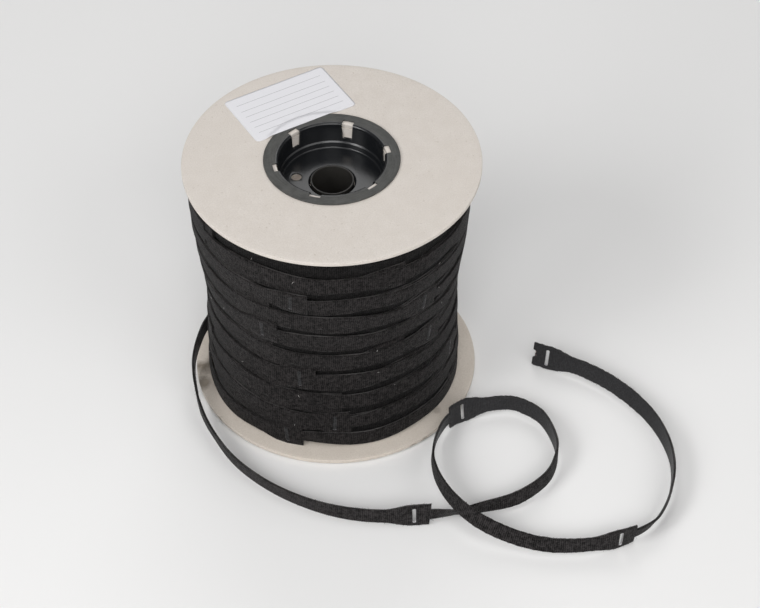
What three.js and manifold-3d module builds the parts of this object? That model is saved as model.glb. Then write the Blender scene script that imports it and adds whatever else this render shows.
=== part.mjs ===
// A reel of hook and loop cable ties: two round paperboard flanges on a paper core tube, held together
// by a pressed steel hub at each end and a steel arbor tube between the hubs. The ties are one
// continuous die cut band, wound on the reel, with five ties pulled off and curling on the floor.
// Millimetres, +Z up, the reel standing on its lower hub ring, with the origin on its axis at the floor.
import * as THREE from "three";
import { mergeVertices } from "three/addons/utils/BufferGeometryUtils.js";
import Module from "manifold-3d";

const wasm = await Module();
wasm.setup();

// Reel
const flangeDiameter = 208;
const flangeThickness = 3;
const flangeBoreClearance = 0.8;
const coreLength = 192;
const coreBore = 76.2;
const coreWall = 4;

// Fits and modelling distances
const seatGap = 0.3;
const cutOverrun = 1;
const weldDistance = 0.001;

// Pressed hub, drawn from one steel sheet: flat ring, wall, stepped foot, floor and collar
const sheetThickness = 1;
const hubRingDiameter = 95;
const hubEdgeRound = 0.3;
const hubDepth = 21.3;
const hubBendRadius = 2;
const hubStepDepth = 15.8;
const hubStepWidth = 0.8;
const hubStepHeight = 1;
const hubFootRadius = 2.5;
const collarLipRadius = 1.65;
const collarDepth = 4;

// Six claw windows in the hub wall, with the claw at each lower edge bent out into the core
const windowCount = 6;
const windowBearing = 74;
const windowTopWidth = 8.1;
const windowFootWidth = 6.5;
const windowDepth = 13;
const windowNotch = 2.7;
const clawWidth = 5;
const clawReach = 3;
const clawDrop = 2;
const clawThickness = 1.1;

// Drive hole in the hub floor
const driveHoleDiameter = 7.4;
const driveHoleRadius = 25.6;
const driveHoleBearing = 169.6;

// Arbor tube
const arborDiameter = 30.5;
const arborWall = 1.2;
const arborProud = 1.5;

// Label: a paper sticker on the upper flange that laps over the hub ring
const labelLength = 80;
const labelWidth = 50;
const labelThickness = 0.3;
const labelCorner = 3;
const labelTurn = 30.8;
const labelAcross = -30.6;
const labelBack = 59.8;
const labelStandoff = 4;
const labelRampLength = 7;

// One tie of the band: narrow tip, straight body, flare and square head with a slot
const tieLength = 230;
const bandThickness = 1.7;
const bodyWidth = 12.5;
const headWidth = 20;
const tipWidth = 8.8;
const tipTaperLength = 35;
const headFlareLength = 20;
const headLength = 13;
const slotLength = 14;
const slotWidth = 2.5;
const slotSetback = 11.3;

// Winding: the outer layer as one band over a plain core of the inner layers. It comes down from the
// upper flange, turns back at the reversal height and climbs over itself to where it leaves the reel.
const windingDiameter = 181.2;
const windingBulge = 8.4;
const bulgeStartShare = 0.37;
const bulgeEndShare = 0.9;
const footBulge = 2.2;
const footBulgeShare = 0.52;
const windingShift = 1.8;
const windingSeat = 1.1;
const windingEndGap = 0.7;
const layerGap = 0.8;
const layerTurns = 7.86;
const lastLayerTurns = 0.492;
const reversalTurns = 0.1;
const climbTurns = 0.2;
const reversalHeight = 29.5;
const takeOffBearing = 161;
const shoulderHeight = 12;
const shoulderSlope = 2;

// Free band: the centre of the band from the reel to its torn end. Each point is x, y, z and the lean
// of the band's upper edge to its outer side, in degrees.
const bandRoute = [
  [-100.8, -7, 33.2, 1],
  [-103.5, -26, 28, 1],
  [-101.2, -46, 22, 2],
  [-96.4, -64.8, 15.5, 6],
  [-86.6, -85.1, 11.5, 10],
  [-70.7, -109.4, 10.3, 9],
  [-46, -132.6, 10.3, 9],
  [-18, -149, 10.3, 6],
  [9, -158, 10.3, 0],
  [37, -161, 10.3, -3],
  [69, -159, 10.3, -3],
  [76, -157, 8.4, 14],
  [86, -154, 6.3, 29],
  [104, -151, 8, 8],
  [130, -144, 10.2, -8],
  [151, -126, 10.3, -6],
  [158, -111, 10.3, -4],
  [160, -95, 10.3, 3],
  [151, -68, 10.3, 10],
  [140, -58, 10.3, 12],
  [128, -53, 10.3, 7],
  [100, -58, 10.3, 12],
  [84, -67, 10.3, 6],
  [74, -87, 11.4, 2],
  [71, -116, 15, 2],
  [80, -149, 19.2, -10],
  [98, -170, 17.6, -17],
  [122, -181, 12.8, -15],
  [149, -187, 10.4, -10],
  [182, -186, 10.3, -4],
  [209, -177, 10.2, 8],
  [225, -165, 10, 24],
  [238, -139, 10.3, 5],
  [242, -108, 10.3, 4],
  [233, -73, 10.3, 15],
  [212, -42, 10.3, 25],
  [187, -21, 10.3, 23],
  [147.6, -2.4, 10.3, 9],
];

// The last head is torn off, with a bite between its corners. Each point is a share of the bite's
// depth into the head and a share of its height across it.
const tearDepth = 2.6;
const tearHeight = 8;
const tearRise = 1.4;
const tearOutlineShares = [
  [0, -0.5],
  [0.45, -0.42],
  [0.7, -0.2],
  [0.6, 0],
  [1, 0.24],
  [0.8, 0.4],
  [0, 0.5],
];

// Counts
const freeTies = 5;
const flangeSides = 84;
const coreSides = 60;
const hubSides = 36;
const arborSides = 36;
const bendSteps = 3;
const bulgeSteps = 9;
const bodySteps = 10;
const flareSteps = 4;
const turnSamples = 180;
const labelColumns = 13;
const labelRows = 8;
const cornerSteps = 3;

// Sizes worked out from the ones above
const coreOuterRadius = coreBore / 2 + coreWall;
const hubWallRadius = coreBore / 2 - seatGap - sheetThickness;
const hubRingRadius = hubRingDiameter / 2;
const flangeBoreRadius = hubWallRadius + sheetThickness + flangeBoreClearance;
const flangeFloor = sheetThickness + seatGap;
const coreFloor = flangeFloor + flangeThickness + seatGap;
const coreTop = coreFloor + coreLength;
const reelHeight = coreTop + coreFloor;
const upperFlangeFloor = coreTop + seatGap;
const upperFlangeTop = upperFlangeFloor + flangeThickness;
const arborRadius = arborDiameter / 2;
const arborEnd = hubDepth - arborProud;
const windingFloor = coreFloor - seatGap + windingEndGap;
const windingTop = reelHeight - windingFloor;
const firstLayerRadius = windingDiameter / 2 - bandThickness / 2;
const layerStep = bandThickness + layerGap;
const windingCoreRadius = firstLayerRadius - bandThickness / 2 - windingSeat;
const windingHigh = windingTop - headWidth / 2;
const windingPitch = (windingHigh - reversalHeight) / (layerTurns - reversalTurns);
const windingShiftX = windingShift * Math.cos(THREE.MathUtils.degToRad(takeOffBearing));
const windingShiftY = windingShift * Math.sin(THREE.MathUtils.degToRad(takeOffBearing));

// Small helpers

function radians(degrees) {
  return THREE.MathUtils.degToRad(degrees);
}

// A closed geometry as a solid, turned the right way out.
function solidOf(geometry) {
  const plain = new THREE.BufferGeometry();
  const loose = geometry.index ? geometry.toNonIndexed() : geometry;
  plain.setAttribute("position", loose.getAttribute("position"));
  const merged = mergeVertices(plain, weldDistance);
  const triVerts = new Uint32Array(merged.index.array);
  const vertProperties = new Float32Array(merged.attributes.position.array);
  const solid = new wasm.Manifold(new wasm.Mesh({ numProp: 3, vertProperties, triVerts }));
  if (solid.volume() > 0) return solid;
  for (let i = 0; i < triVerts.length; i += 3) {
    [triVerts[i + 1], triVerts[i + 2]] = [triVerts[i + 2], triVerts[i + 1]];
  }
  return new wasm.Manifold(new wasm.Mesh({ numProp: 3, vertProperties, triVerts }));
}

// The geometry of a solid, for a mesh.
function geometryOf(solid) {
  const mesh = solid.getMesh();
  const positions = new Float32Array(mesh.numVert * 3);
  for (let i = 0; i < mesh.numVert; i++) {
    for (let k = 0; k < 3; k++) positions[i * 3 + k] = mesh.vertProperties[i * mesh.numProp + k];
  }
  const geometry = new THREE.BufferGeometry();
  geometry.setAttribute("position", new THREE.BufferAttribute(positions, 3));
  geometry.setIndex(new THREE.BufferAttribute(new Uint32Array(mesh.triVerts), 1));
  geometry.computeVertexNormals();
  return geometry;
}

// A profile of [radius, height] points that closes on itself, turned about the Z axis.
function turned(profile, sides) {
  const points = [...profile, profile[0]].map(([radius, height]) => new THREE.Vector2(radius, height));
  const lathe = new THREE.LatheGeometry(points, sides);
  lathe.rotateX(Math.PI / 2);
  return solidOf(lathe);
}

// Points of an arc in a profile, from one angle to another, both in degrees.
function arc(centre, radius, from, to, steps = bendSteps) {
  const points = [];
  for (let i = 0; i <= steps; i++) {
    const angle = radians(from + ((to - from) * i) / steps);
    points.push([centre[0] + radius * Math.cos(angle), centre[1] + radius * Math.sin(angle)]);
  }
  return points;
}

// A flat outline of [across, height] points extruded along the radius, then turned to its bearing.
function radialCut(outline, nearRadius, farRadius, bearing) {
  const shape = new THREE.Shape(outline.map(([across, height]) => new THREE.Vector2(across, height)));
  const cut = new THREE.ExtrudeGeometry(shape, { depth: farRadius - nearRadius, bevelEnabled: false });
  cut.translate(0, 0, nearRadius);
  cut.applyMatrix4(
    new THREE.Matrix4().makeBasis(
      new THREE.Vector3(0, 1, 0),
      new THREE.Vector3(0, 0, 1),
      new THREE.Vector3(1, 0, 0),
    ),
  );
  cut.rotateZ(radians(bearing));
  return solidOf(cut);
}

function windowBearings() {
  return Array.from({ length: windowCount }, (_, i) => windowBearing + (360 * i) / windowCount);
}

function smooth(share) {
  const s = THREE.MathUtils.clamp(share, 0, 1);
  return s * s * (3 - 2 * s);
}

// Hub: heights run from its ring's outer face at 0 down to its collar, as the upper hub stands.

function hubProfile() {
  const wall = hubWallRadius;
  const back = hubWallRadius + sheetThickness;
  const foot = wall - hubStepWidth;
  const floor = -hubDepth;
  const underFloor = floor - sheetThickness;
  const stepFoot = -hubStepDepth - hubStepHeight;
  const footCentre = [foot - hubFootRadius, floor + hubFootRadius];
  const bendCentre = [wall + hubBendRadius, -hubBendRadius];
  const collarInner = arborRadius + seatGap;
  const collarOuter = collarInner + sheetThickness;
  const lipCentre = [collarInner + collarLipRadius, floor - collarLipRadius];
  const collarEnd = floor - collarDepth;
  return [
    [hubRingRadius, -sheetThickness],
    [hubRingRadius, -hubEdgeRound],
    [hubRingRadius - hubEdgeRound, 0],
    ...arc(bendCentre, hubBendRadius, 90, 180),
    [wall, -hubStepDepth],
    [foot, stepFoot],
    ...arc(footCentre, hubFootRadius, 0, -90),
    ...arc(lipCentre, collarLipRadius, 90, 180),
    [collarInner, collarEnd],
    [collarOuter, collarEnd],
    ...arc(lipCentre, collarLipRadius - sheetThickness, 180, 90, 1),
    [footCentre[0], underFloor],
    ...arc(footCentre, hubFootRadius + sheetThickness, -60, 0, 2),
    [foot + sheetThickness, stepFoot - sheetThickness / 2],
    [back, -hubStepDepth - sheetThickness / 2],
    ...arc(bendCentre, hubBendRadius - sheetThickness, 180, 90, 2),
  ];
}

function hubWindow(bearing) {
  const outline = [
    [-windowTopWidth / 2, cutOverrun],
    [-windowFootWidth / 2, -windowDepth],
    [windowFootWidth / 2, -windowDepth],
    [windowTopWidth / 2, cutOverrun],
  ];
  const far = hubWallRadius + hubBendRadius + windowNotch;
  return radialCut(outline, hubWallRadius - hubStepWidth - cutOverrun, far, bearing);
}

// The claw leans out and down from the window's lower edge.
function hubClaw(bearing) {
  const root = hubWallRadius + sheetThickness / 2;
  const tip = hubWallRadius + sheetThickness + clawReach;
  const side = new THREE.Shape(
    [
      [root, -windowDepth - clawThickness / 2],
      [tip, -windowDepth - clawDrop],
      [tip - clawThickness, -windowDepth - clawDrop - clawThickness],
      [root, -windowDepth - 2 * clawThickness],
    ].map(([radius, height]) => new THREE.Vector2(radius, height)),
  );
  const claw = new THREE.ExtrudeGeometry(side, { depth: clawWidth, bevelEnabled: false });
  claw.translate(0, 0, -clawWidth / 2);
  claw.rotateX(Math.PI / 2);
  claw.rotateZ(radians(bearing));
  return solidOf(claw);
}

function pressedHub() {
  let hub = turned(hubProfile(), hubSides);
  for (const bearing of windowBearings()) {
    hub = hub.subtract(hubWindow(bearing)).add(hubClaw(bearing));
  }
  const hole = new THREE.CylinderGeometry(
    driveHoleDiameter / 2,
    driveHoleDiameter / 2,
    sheetThickness + 2 * cutOverrun,
    arborSides / 2,
  );
  hole.rotateX(Math.PI / 2);
  hole.translate(driveHoleRadius, 0, -hubDepth - sheetThickness / 2);
  hole.rotateZ(radians(driveHoleBearing));
  return hub.subtract(solidOf(hole));
}

// Flanges, core and arbor

function flange(floor) {
  const top = floor + flangeThickness;
  const outer = flangeDiameter / 2;
  const profile = [
    [flangeBoreRadius, floor],
    [outer, floor],
    [outer, top],
    [flangeBoreRadius, top],
  ];
  return turned(profile, flangeSides);
}

// The claws of both hubs press notches into the core tube, one row near each end.
function coreTube() {
  const profile = [
    [coreBore / 2, coreFloor],
    [coreOuterRadius, coreFloor],
    [coreOuterRadius, coreTop],
    [coreBore / 2, coreTop],
  ];
  let tube = turned(profile, coreSides);
  const halfNotch = clawWidth / 2 + seatGap;
  const notchTop = windowDepth - seatGap;
  const notchFoot = windowDepth + clawDrop + clawThickness + seatGap;
  const near = coreBore / 2 - cutOverrun;
  const far = hubWallRadius + sheetThickness + clawReach + seatGap;
  const row = (top, foot) => [
    [-halfNotch, foot],
    [halfNotch, foot],
    [halfNotch, top],
    [-halfNotch, top],
  ];
  for (const bearing of windowBearings()) {
    tube = tube.subtract(radialCut(row(reelHeight - notchTop, reelHeight - notchFoot), near, far, bearing));
    tube = tube.subtract(radialCut(row(notchFoot, notchTop), near, far, -bearing));
  }
  return tube;
}

function arborTube() {
  const inner = arborRadius - arborWall;
  const top = reelHeight - arborEnd;
  const profile = [
    [inner, arborEnd],
    [arborRadius, arborEnd],
    [arborRadius, top],
    [inner, top],
  ];
  return turned(profile, arborSides);
}

// Label: a thin sheet with round corners that ramps up where it laps over the hub ring

function labelHeight(x, y) {
  const rise = seatGap + sheetThickness;
  const distance = Math.hypot(x, y) - hubRingRadius - labelStandoff;
  return upperFlangeTop + seatGap + rise * smooth(1 - distance / labelRampLength);
}

function labelSheet() {
  const halfLength = labelLength / 2;
  const halfWidth = labelWidth / 2;
  const turn = radians(labelTurn);
  const place = (along, across, lift) => {
    // Pull the corners of the grid in to a round corner.
    const overLength = Math.max(Math.abs(along) - (halfLength - labelCorner), 0);
    const overWidth = Math.max(Math.abs(across) - (halfWidth - labelCorner), 0);
    const reach = Math.hypot(overLength, overWidth);
    const pull = reach > labelCorner ? labelCorner / reach : 1;
    const l = along - Math.sign(along) * overLength * (1 - pull);
    const w = across - Math.sign(across) * overWidth * (1 - pull);
    const x = labelAcross + l * Math.cos(turn) - w * Math.sin(turn);
    const y = labelBack + l * Math.sin(turn) + w * Math.cos(turn);
    return [x, y, labelHeight(x, y) + lift];
  };
  const across = gridLines(halfWidth, labelRows);
  const along = gridLines(halfLength, labelColumns);
  const positions = [];
  for (const lift of [0, labelThickness]) {
    for (const w of across) for (const l of along) positions.push(...place(l, w, lift));
  }
  return solidOf(sheetGeometry(positions, along.length, across.length));
}

// Grid lines across a half width: fine in the round corner, even between the corners.
function gridLines(half, cells) {
  const lines = [];
  for (let i = 0; i < cornerSteps; i++) {
    lines.push(-half + labelCorner * (1 - Math.cos((Math.PI / 2) * (i / cornerSteps))));
  }
  for (let i = 0; i <= cells; i++) {
    lines.push((half - labelCorner) * ((2 * i) / cells - 1));
  }
  for (let i = cornerSteps - 1; i >= 0; i--) {
    lines.push(half - labelCorner * (1 - Math.cos((Math.PI / 2) * (i / cornerSteps))));
  }
  return lines;
}

// Two layers of a grid of points, closed round their edges.
function sheetGeometry(positions, columns, rows) {
  const layer = columns * rows;
  const at = (column, row, level) => level * layer + row * columns + column;
  const triangles = [];
  const quad = (a, b, c, d) => triangles.push(a, b, c, a, c, d);
  for (let r = 0; r < rows - 1; r++) {
    for (let c = 0; c < columns - 1; c++) {
      quad(at(c, r, 0), at(c, r + 1, 0), at(c + 1, r + 1, 0), at(c + 1, r, 0));
      quad(at(c, r, 1), at(c + 1, r, 1), at(c + 1, r + 1, 1), at(c, r + 1, 1));
    }
  }
  for (let c = 0; c < columns - 1; c++) {
    quad(at(c, 0, 0), at(c + 1, 0, 0), at(c + 1, 0, 1), at(c, 0, 1));
    quad(at(c + 1, rows - 1, 0), at(c, rows - 1, 0), at(c, rows - 1, 1), at(c + 1, rows - 1, 1));
  }
  for (let r = 0; r < rows - 1; r++) {
    quad(at(0, r + 1, 0), at(0, r, 0), at(0, r, 1), at(0, r + 1, 1));
    quad(at(columns - 1, r, 0), at(columns - 1, r + 1, 0), at(columns - 1, r + 1, 1), at(columns - 1, r, 1));
  }
  const geometry = new THREE.BufferGeometry();
  geometry.setAttribute("position", new THREE.BufferAttribute(new Float32Array(positions), 3));
  geometry.setIndex(triangles);
  return geometry;
}

// Band of ties: half its width at a distance along one tie, measured from the tip.
function halfWidthAt(alongTie) {
  const headStart = tieLength - headLength;
  const flareStart = headStart - headFlareLength;
  if (alongTie < tipTaperLength) {
    const share = Math.sin((Math.PI / 2) * (alongTie / tipTaperLength));
    return (tipWidth + (bodyWidth - tipWidth) * share) / 2;
  }
  const flare = smooth((alongTie - flareStart) / headFlareLength);
  return (bodyWidth + (headWidth - bodyWidth) * flare) / 2;
}

// Distances along one tie at which the band gets a section, up to the end of its head.
function tieSections() {
  const headEnd = tieLength - seatGap;
  const headStart = tieLength - headLength;
  const flareStart = headStart - headFlareLength;
  const bodyStep = (flareStart - tipTaperLength) / bodySteps;
  const flareStep = headFlareLength / flareSteps;
  const sections = [0, tipTaperLength / 2];
  for (let i = 0; i < bodySteps; i++) sections.push(tipTaperLength + i * bodyStep);
  for (let i = 0; i < flareSteps; i++) sections.push(flareStart + i * flareStep);
  sections.push(headStart, (headStart + headEnd) / 2, headEnd);
  return sections;
}

// A section of the band: its centre, half width, and the directions across it and out of its face.
function sectionOn(path, distance, alongTie) {
  const { centre, tangent, lean } = path(distance);
  const side = new THREE.Vector3(tangent.y, -tangent.x, 0).normalize();
  const rise = new THREE.Vector3().crossVectors(side, tangent).normalize();
  const across = rise.clone().multiplyScalar(Math.cos(lean)).addScaledVector(side, Math.sin(lean));
  const out = side.clone().multiplyScalar(Math.cos(lean)).addScaledVector(rise, -Math.sin(lean));
  return { centre, tangent, across, out, halfWidth: halfWidthAt(alongTie) };
}

function bandGeometry(sections) {
  const positions = [];
  for (const { centre, across, out, halfWidth } of sections) {
    const corners = [[1, 1], [-1, 1], [-1, -1], [1, -1]];
    for (const [w, t] of corners) {
      const corner = centre
        .clone()
        .addScaledVector(across, w * halfWidth)
        .addScaledVector(out, (t * bandThickness) / 2);
      positions.push(corner.x, corner.y, corner.z);
    }
  }
  const triangles = [];
  for (let i = 0; i < sections.length - 1; i++) {
    for (let k = 0; k < 4; k++) {
      const a = i * 4 + k;
      const b = i * 4 + ((k + 1) % 4);
      triangles.push(a, b, b + 4, a, b + 4, a + 4);
    }
  }
  const last = (sections.length - 1) * 4;
  triangles.push(0, 2, 1, 0, 3, 2, last, last + 1, last + 2, last, last + 2, last + 3);
  const geometry = new THREE.BufferGeometry();
  geometry.setAttribute("position", new THREE.BufferAttribute(new Float32Array(positions), 3));
  geometry.setIndex(triangles);
  return geometry;
}

// The block that cuts a slot through the head, across the band.
function slotCut(section) {
  const block = new THREE.BoxGeometry(slotWidth, slotLength, bandThickness + 2 * cutOverrun);
  const frame = new THREE.Matrix4().makeBasis(section.tangent, section.across, section.out);
  frame.setPosition(section.centre);
  block.applyMatrix4(frame);
  return solidOf(block);
}

// The block that takes a ragged bite out of the end of the band.
function tearCut(section) {
  const outline = [[-cutOverrun / tearDepth, -0.5], ...tearOutlineShares, [-cutOverrun / tearDepth, 0.5]];
  const points = outline.map(
    ([depth, height]) => new THREE.Vector2(-depth * tearDepth, height * tearHeight + tearRise),
  );
  const depth = bandThickness + 2 * cutOverrun;
  const bite = new THREE.ExtrudeGeometry(new THREE.Shape(points), { depth, bevelEnabled: false });
  bite.translate(0, 0, -depth / 2);
  const frame = new THREE.Matrix4().makeBasis(section.tangent, section.across, section.out);
  frame.setPosition(section.centre);
  bite.applyMatrix4(frame);
  return solidOf(bite);
}

// The band between two distances on a path, with a slot in each whole head.
// A distance of 0 on the path lies phase further along its tie than the tie's tip.
function band(path, from, to, phase) {
  const sections = [];
  const slots = [];
  const slotAlong = tieLength - slotSetback;
  const firstTie = Math.floor((from + phase) / tieLength);
  const lastTie = Math.floor((to + phase) / tieLength);
  const add = (distance, alongTie) => sections.push(sectionOn(path, distance, alongTie));
  add(from, from + phase - firstTie * tieLength);
  for (let tie = firstTie; tie <= lastTie; tie++) {
    const tip = tie * tieLength - phase;
    for (const alongTie of tieSections()) {
      const distance = tip + alongTie;
      if (distance > from + weldDistance && distance < to - weldDistance) add(distance, alongTie);
    }
    const slot = tip + slotAlong;
    if (slot > from + slotSetback && slot < to - slotWidth) slots.push(sectionOn(path, slot, slotAlong));
  }
  add(to, to + phase - lastTie * tieLength);
  let solid = solidOf(bandGeometry(sections));
  for (const slot of slots) solid = solid.subtract(slotCut(slot));
  return solid;
}

// Winding: radius and height of the band's centre, against turns counted from where the traverse
// reverses. The outer layer comes down to it, and the last half turn climbs over the one before. The
// winding is narrowest at its waist, and thicker on the side where the band leaves it.

function bulgeAt(height) {
  const share = (height - windingFloor) / (windingTop - windingFloor);
  const foot = footBulge * (1 - smooth(share / footBulgeShare));
  return foot + windingBulge * smooth((share - bulgeStartShare) / (bulgeEndShare - bulgeStartShare));
}

function windingPoint(turns) {
  const rounded = Math.hypot(turns, reversalTurns) - reversalTurns;
  const height = reversalHeight + windingPitch * rounded;
  const climb = layerStep * smooth(turns / climbTurns);
  const radius = firstLayerRadius + bulgeAt(height) + climb;
  const angle = radians(takeOffBearing) + 2 * Math.PI * (turns - lastLayerTurns);
  return new THREE.Vector3(
    radius * Math.cos(angle) + windingShiftX,
    radius * Math.sin(angle) + windingShiftY,
    height,
  );
}

// The winding as a path by distance: 0 is where the band leaves the reel, and it is negative on the reel.
function windingPath() {
  const samples = [];
  const count = Math.round((layerTurns + lastLayerTurns) * turnSamples);
  let distance = 0;
  for (let i = 0; i <= count; i++) {
    const turns = lastLayerTurns - i / turnSamples;
    const point = windingPoint(turns);
    if (i > 0) distance -= point.distanceTo(samples[i - 1].point);
    samples.push({ distance, point });
  }
  const startTangent = samples[0].point.clone().sub(samples[1].point).normalize();
  const endTangent = samples[count - 1].point.clone().sub(samples[count].point).normalize();
  const path = (wanted) => {
    if (wanted >= 0) {
      return { centre: samples[0].point.clone().addScaledVector(startTangent, wanted), tangent: startTangent, lean: 0 };
    }
    if (wanted <= distance) {
      const centre = samples[count].point.clone().addScaledVector(endTangent, wanted - distance);
      return { centre, tangent: endTangent, lean: 0 };
    }
    let low = 0;
    let high = count;
    while (high - low > 1) {
      const middle = (low + high) >> 1;
      if (samples[middle].distance > wanted) low = middle;
      else high = middle;
    }
    const span = samples[low].distance - samples[high].distance;
    const share = (samples[low].distance - wanted) / span;
    const centre = samples[low].point.clone().lerp(samples[high].point, share);
    const tangent = samples[low].point.clone().sub(samples[high].point).normalize();
    const lean = Math.atan((bulgeAt(centre.z + bodyWidth / 2) - bulgeAt(centre.z - bodyWidth / 2)) / bodyWidth);
    return { centre, tangent, lean };
  };
  return { path, length: -distance };
}

// The least gap between any two turns of the winding, measured on points a few degrees apart.
function leastWindingGap(path, length, phase) {
  const points = [];
  for (let distance = -length; distance <= 0; distance += bandThickness) {
    const { centre } = path(distance);
    const alongTie = THREE.MathUtils.euclideanModulo(distance + phase, tieLength);
    points.push({ centre, distance, halfWidth: halfWidthAt(alongTie) });
  }
  let least = Infinity;
  for (const a of points) {
    for (const b of points) {
      if (b.distance - a.distance < windingDiameter) continue;
      if (Math.hypot(a.centre.x - b.centre.x, a.centre.y - b.centre.y) > layerStep + bandThickness) continue;
      const beside = Math.abs(a.centre.z - b.centre.z) - a.halfWidth - b.halfWidth;
      const rise = Math.hypot(b.centre.x, b.centre.y) - Math.hypot(a.centre.x, a.centre.y);
      const over = Math.abs(rise) - bandThickness;
      least = Math.min(least, Math.hypot(Math.max(beside, 0), Math.max(over, 0)));
    }
  }
  return least;
}

// Inner layers under the outer one, as a plain sleeve on the core tube that follows the bulge. Below
// the reversal nothing covers their last turn, so the sleeve has a shoulder there of full width.
function windingCore() {
  const inner = coreOuterRadius + seatGap;
  const hollow = inner - 2 * windingShift;
  const shoulderRadius = windingDiameter / 2;
  const shoulderTop = coreFloor + shoulderHeight;
  const slopeTop = shoulderTop + shoulderSlope;
  const profile = [
    [hollow, coreFloor],
    [shoulderRadius + bulgeAt(coreFloor), coreFloor],
    [shoulderRadius + bulgeAt(shoulderTop), shoulderTop],
  ];
  for (let i = 0; i <= bulgeSteps; i++) {
    const height = slopeTop + ((coreTop - slopeTop) * i) / bulgeSteps;
    profile.push([windingCoreRadius + bulgeAt(height), height]);
  }
  profile.push([hollow, coreTop]);
  const bore = [
    [hollow - 2 * windingShift, coreFloor - cutOverrun],
    [inner, coreFloor - cutOverrun],
    [inner, coreTop + cutOverrun],
    [hollow - 2 * windingShift, coreTop + cutOverrun],
  ];
  const sleeve = turned(profile, coreSides).translate([windingShiftX, windingShiftY, 0]);
  return sleeve.subtract(turned(bore, coreSides));
}

// Free band: a smooth curve that leaves the winding straight and follows the route.
function freeBandPath(start, tangent) {
  const points = [start, start.clone().addScaledVector(tangent, bodyWidth)];
  const leans = [0, 0];
  for (const [x, y, z, lean] of bandRoute) {
    points.push(new THREE.Vector3(x, y, z));
    leans.push(radians(lean));
  }
  const curve = new THREE.CatmullRomCurve3(points, false, "centripetal");
  curve.arcLengthDivisions = points.length * turnSamples;
  const length = curve.getLength();
  const path = (distance) => {
    const share = THREE.MathUtils.clamp(distance / length, 0, 1);
    const place = curve.getUtoTmapping(share) * (points.length - 1);
    const before = Math.min(Math.floor(place), points.length - 2);
    const lean = THREE.MathUtils.lerp(leans[before], leans[before + 1], place - before);
    return { centre: curve.getPointAt(share), tangent: curve.getTangentAt(share), lean };
  };
  return { path, length };
}

// Materials

function material(color, roughness, metalness) {
  return new THREE.MeshStandardMaterial({ color, roughness, metalness });
}

const boardMaterial = material(0xcfc7be, 0.85, 0);
const paperMaterial = material(0xdedee0, 0.6, 0);
const steelMaterial = material(0x2b2d2f, 0.35, 0.6);
const bandMaterial = material(0x2e2c2c, 0.95, 0);

const reel = new THREE.Group();

function addPiece(group, name, solid, finish) {
  const mesh = new THREE.Mesh(geometryOf(solid), finish);
  mesh.name = name;
  group.add(mesh);
  return mesh;
}

// Assembly

addPiece(reel, "bottom_flange", flange(flangeFloor), boardMaterial);
addPiece(reel, "top_flange", flange(upperFlangeFloor), boardMaterial);
addPiece(reel, "core_tube", coreTube(), boardMaterial);
addPiece(reel, "arbor_tube", arborTube(), steelMaterial);

const hub = pressedHub();
const topHub = addPiece(reel, "top_hub", hub, steelMaterial);
topHub.position.z = reelHeight;
const bottomHub = addPiece(reel, "bottom_hub", hub, steelMaterial);
bottomHub.rotation.x = Math.PI;

addPiece(reel, "label", labelSheet(), paperMaterial);

const winding = windingPath();
const straightRun = bodyWidth;
const takeOff = winding.path(straightRun);
const free = freeBandPath(takeOff.centre, takeOff.tangent);
const firstHeadEnd = free.length - (freeTies - 1) * tieLength;
const headPhase = tieLength - firstHeadEnd;
const windingPhase = headPhase - straightRun;
addPiece(reel, "winding_core", windingCore(), bandMaterial);
addPiece(
  reel,
  "winding_outer_layer",
  band(winding.path, -winding.length - straightRun, straightRun, windingPhase),
  bandMaterial,
);

const freeGroup = new THREE.Group();
for (let i = 0; i < freeTies; i++) {
  const tip = Math.max(firstHeadEnd + (i - 1) * tieLength, seatGap);
  const end = firstHeadEnd + i * tieLength - seatGap;
  let tie = band(free.path, tip, end, headPhase);
  if (i === freeTies - 1) tie = tie.subtract(tearCut(sectionOn(free.path, end, tieLength)));
  addPiece(freeGroup, "tail_tie_" + (i + 1), tie, bandMaterial);
}
reel.add(freeGroup);

const windingGap = leastWindingGap(winding.path, winding.length, windingPhase);
console.log("least gap of the winding to itself: " + windingGap.toFixed(2) + " mm");
console.log("free band: route " + free.length.toFixed(1) + " mm, winding " + winding.length.toFixed(0) + " mm");

export default reel;
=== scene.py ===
import math

import bpy
import numpy as np
from mathutils import Matrix, Vector
from numpy import radians

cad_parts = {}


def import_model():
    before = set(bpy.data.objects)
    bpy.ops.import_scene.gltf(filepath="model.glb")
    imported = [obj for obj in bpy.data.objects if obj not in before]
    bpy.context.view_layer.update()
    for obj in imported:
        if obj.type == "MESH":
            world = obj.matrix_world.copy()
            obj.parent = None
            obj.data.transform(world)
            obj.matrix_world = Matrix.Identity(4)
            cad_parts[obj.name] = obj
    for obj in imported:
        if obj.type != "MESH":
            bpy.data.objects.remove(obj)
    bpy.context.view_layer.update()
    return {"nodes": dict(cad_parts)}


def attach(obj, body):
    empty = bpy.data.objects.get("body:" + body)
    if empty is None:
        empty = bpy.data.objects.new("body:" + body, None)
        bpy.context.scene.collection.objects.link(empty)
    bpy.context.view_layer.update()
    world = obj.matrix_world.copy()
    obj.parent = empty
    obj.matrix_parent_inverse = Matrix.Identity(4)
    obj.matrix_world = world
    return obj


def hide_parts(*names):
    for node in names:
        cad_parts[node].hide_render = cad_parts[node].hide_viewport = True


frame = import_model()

bpy.context.scene.view_settings.view_transform = "Standard"

# Camera, solved from the round flanges and hub rings in the photograph
CAMERA_PLACE = (0.03315, -1.21693, 1.26208)
CAMERA_DOWN = 44.6593
CAMERA_ROLL = -0.0512
CAMERA_LENS = 110.58
CAMERA_SENSOR = 36

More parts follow.
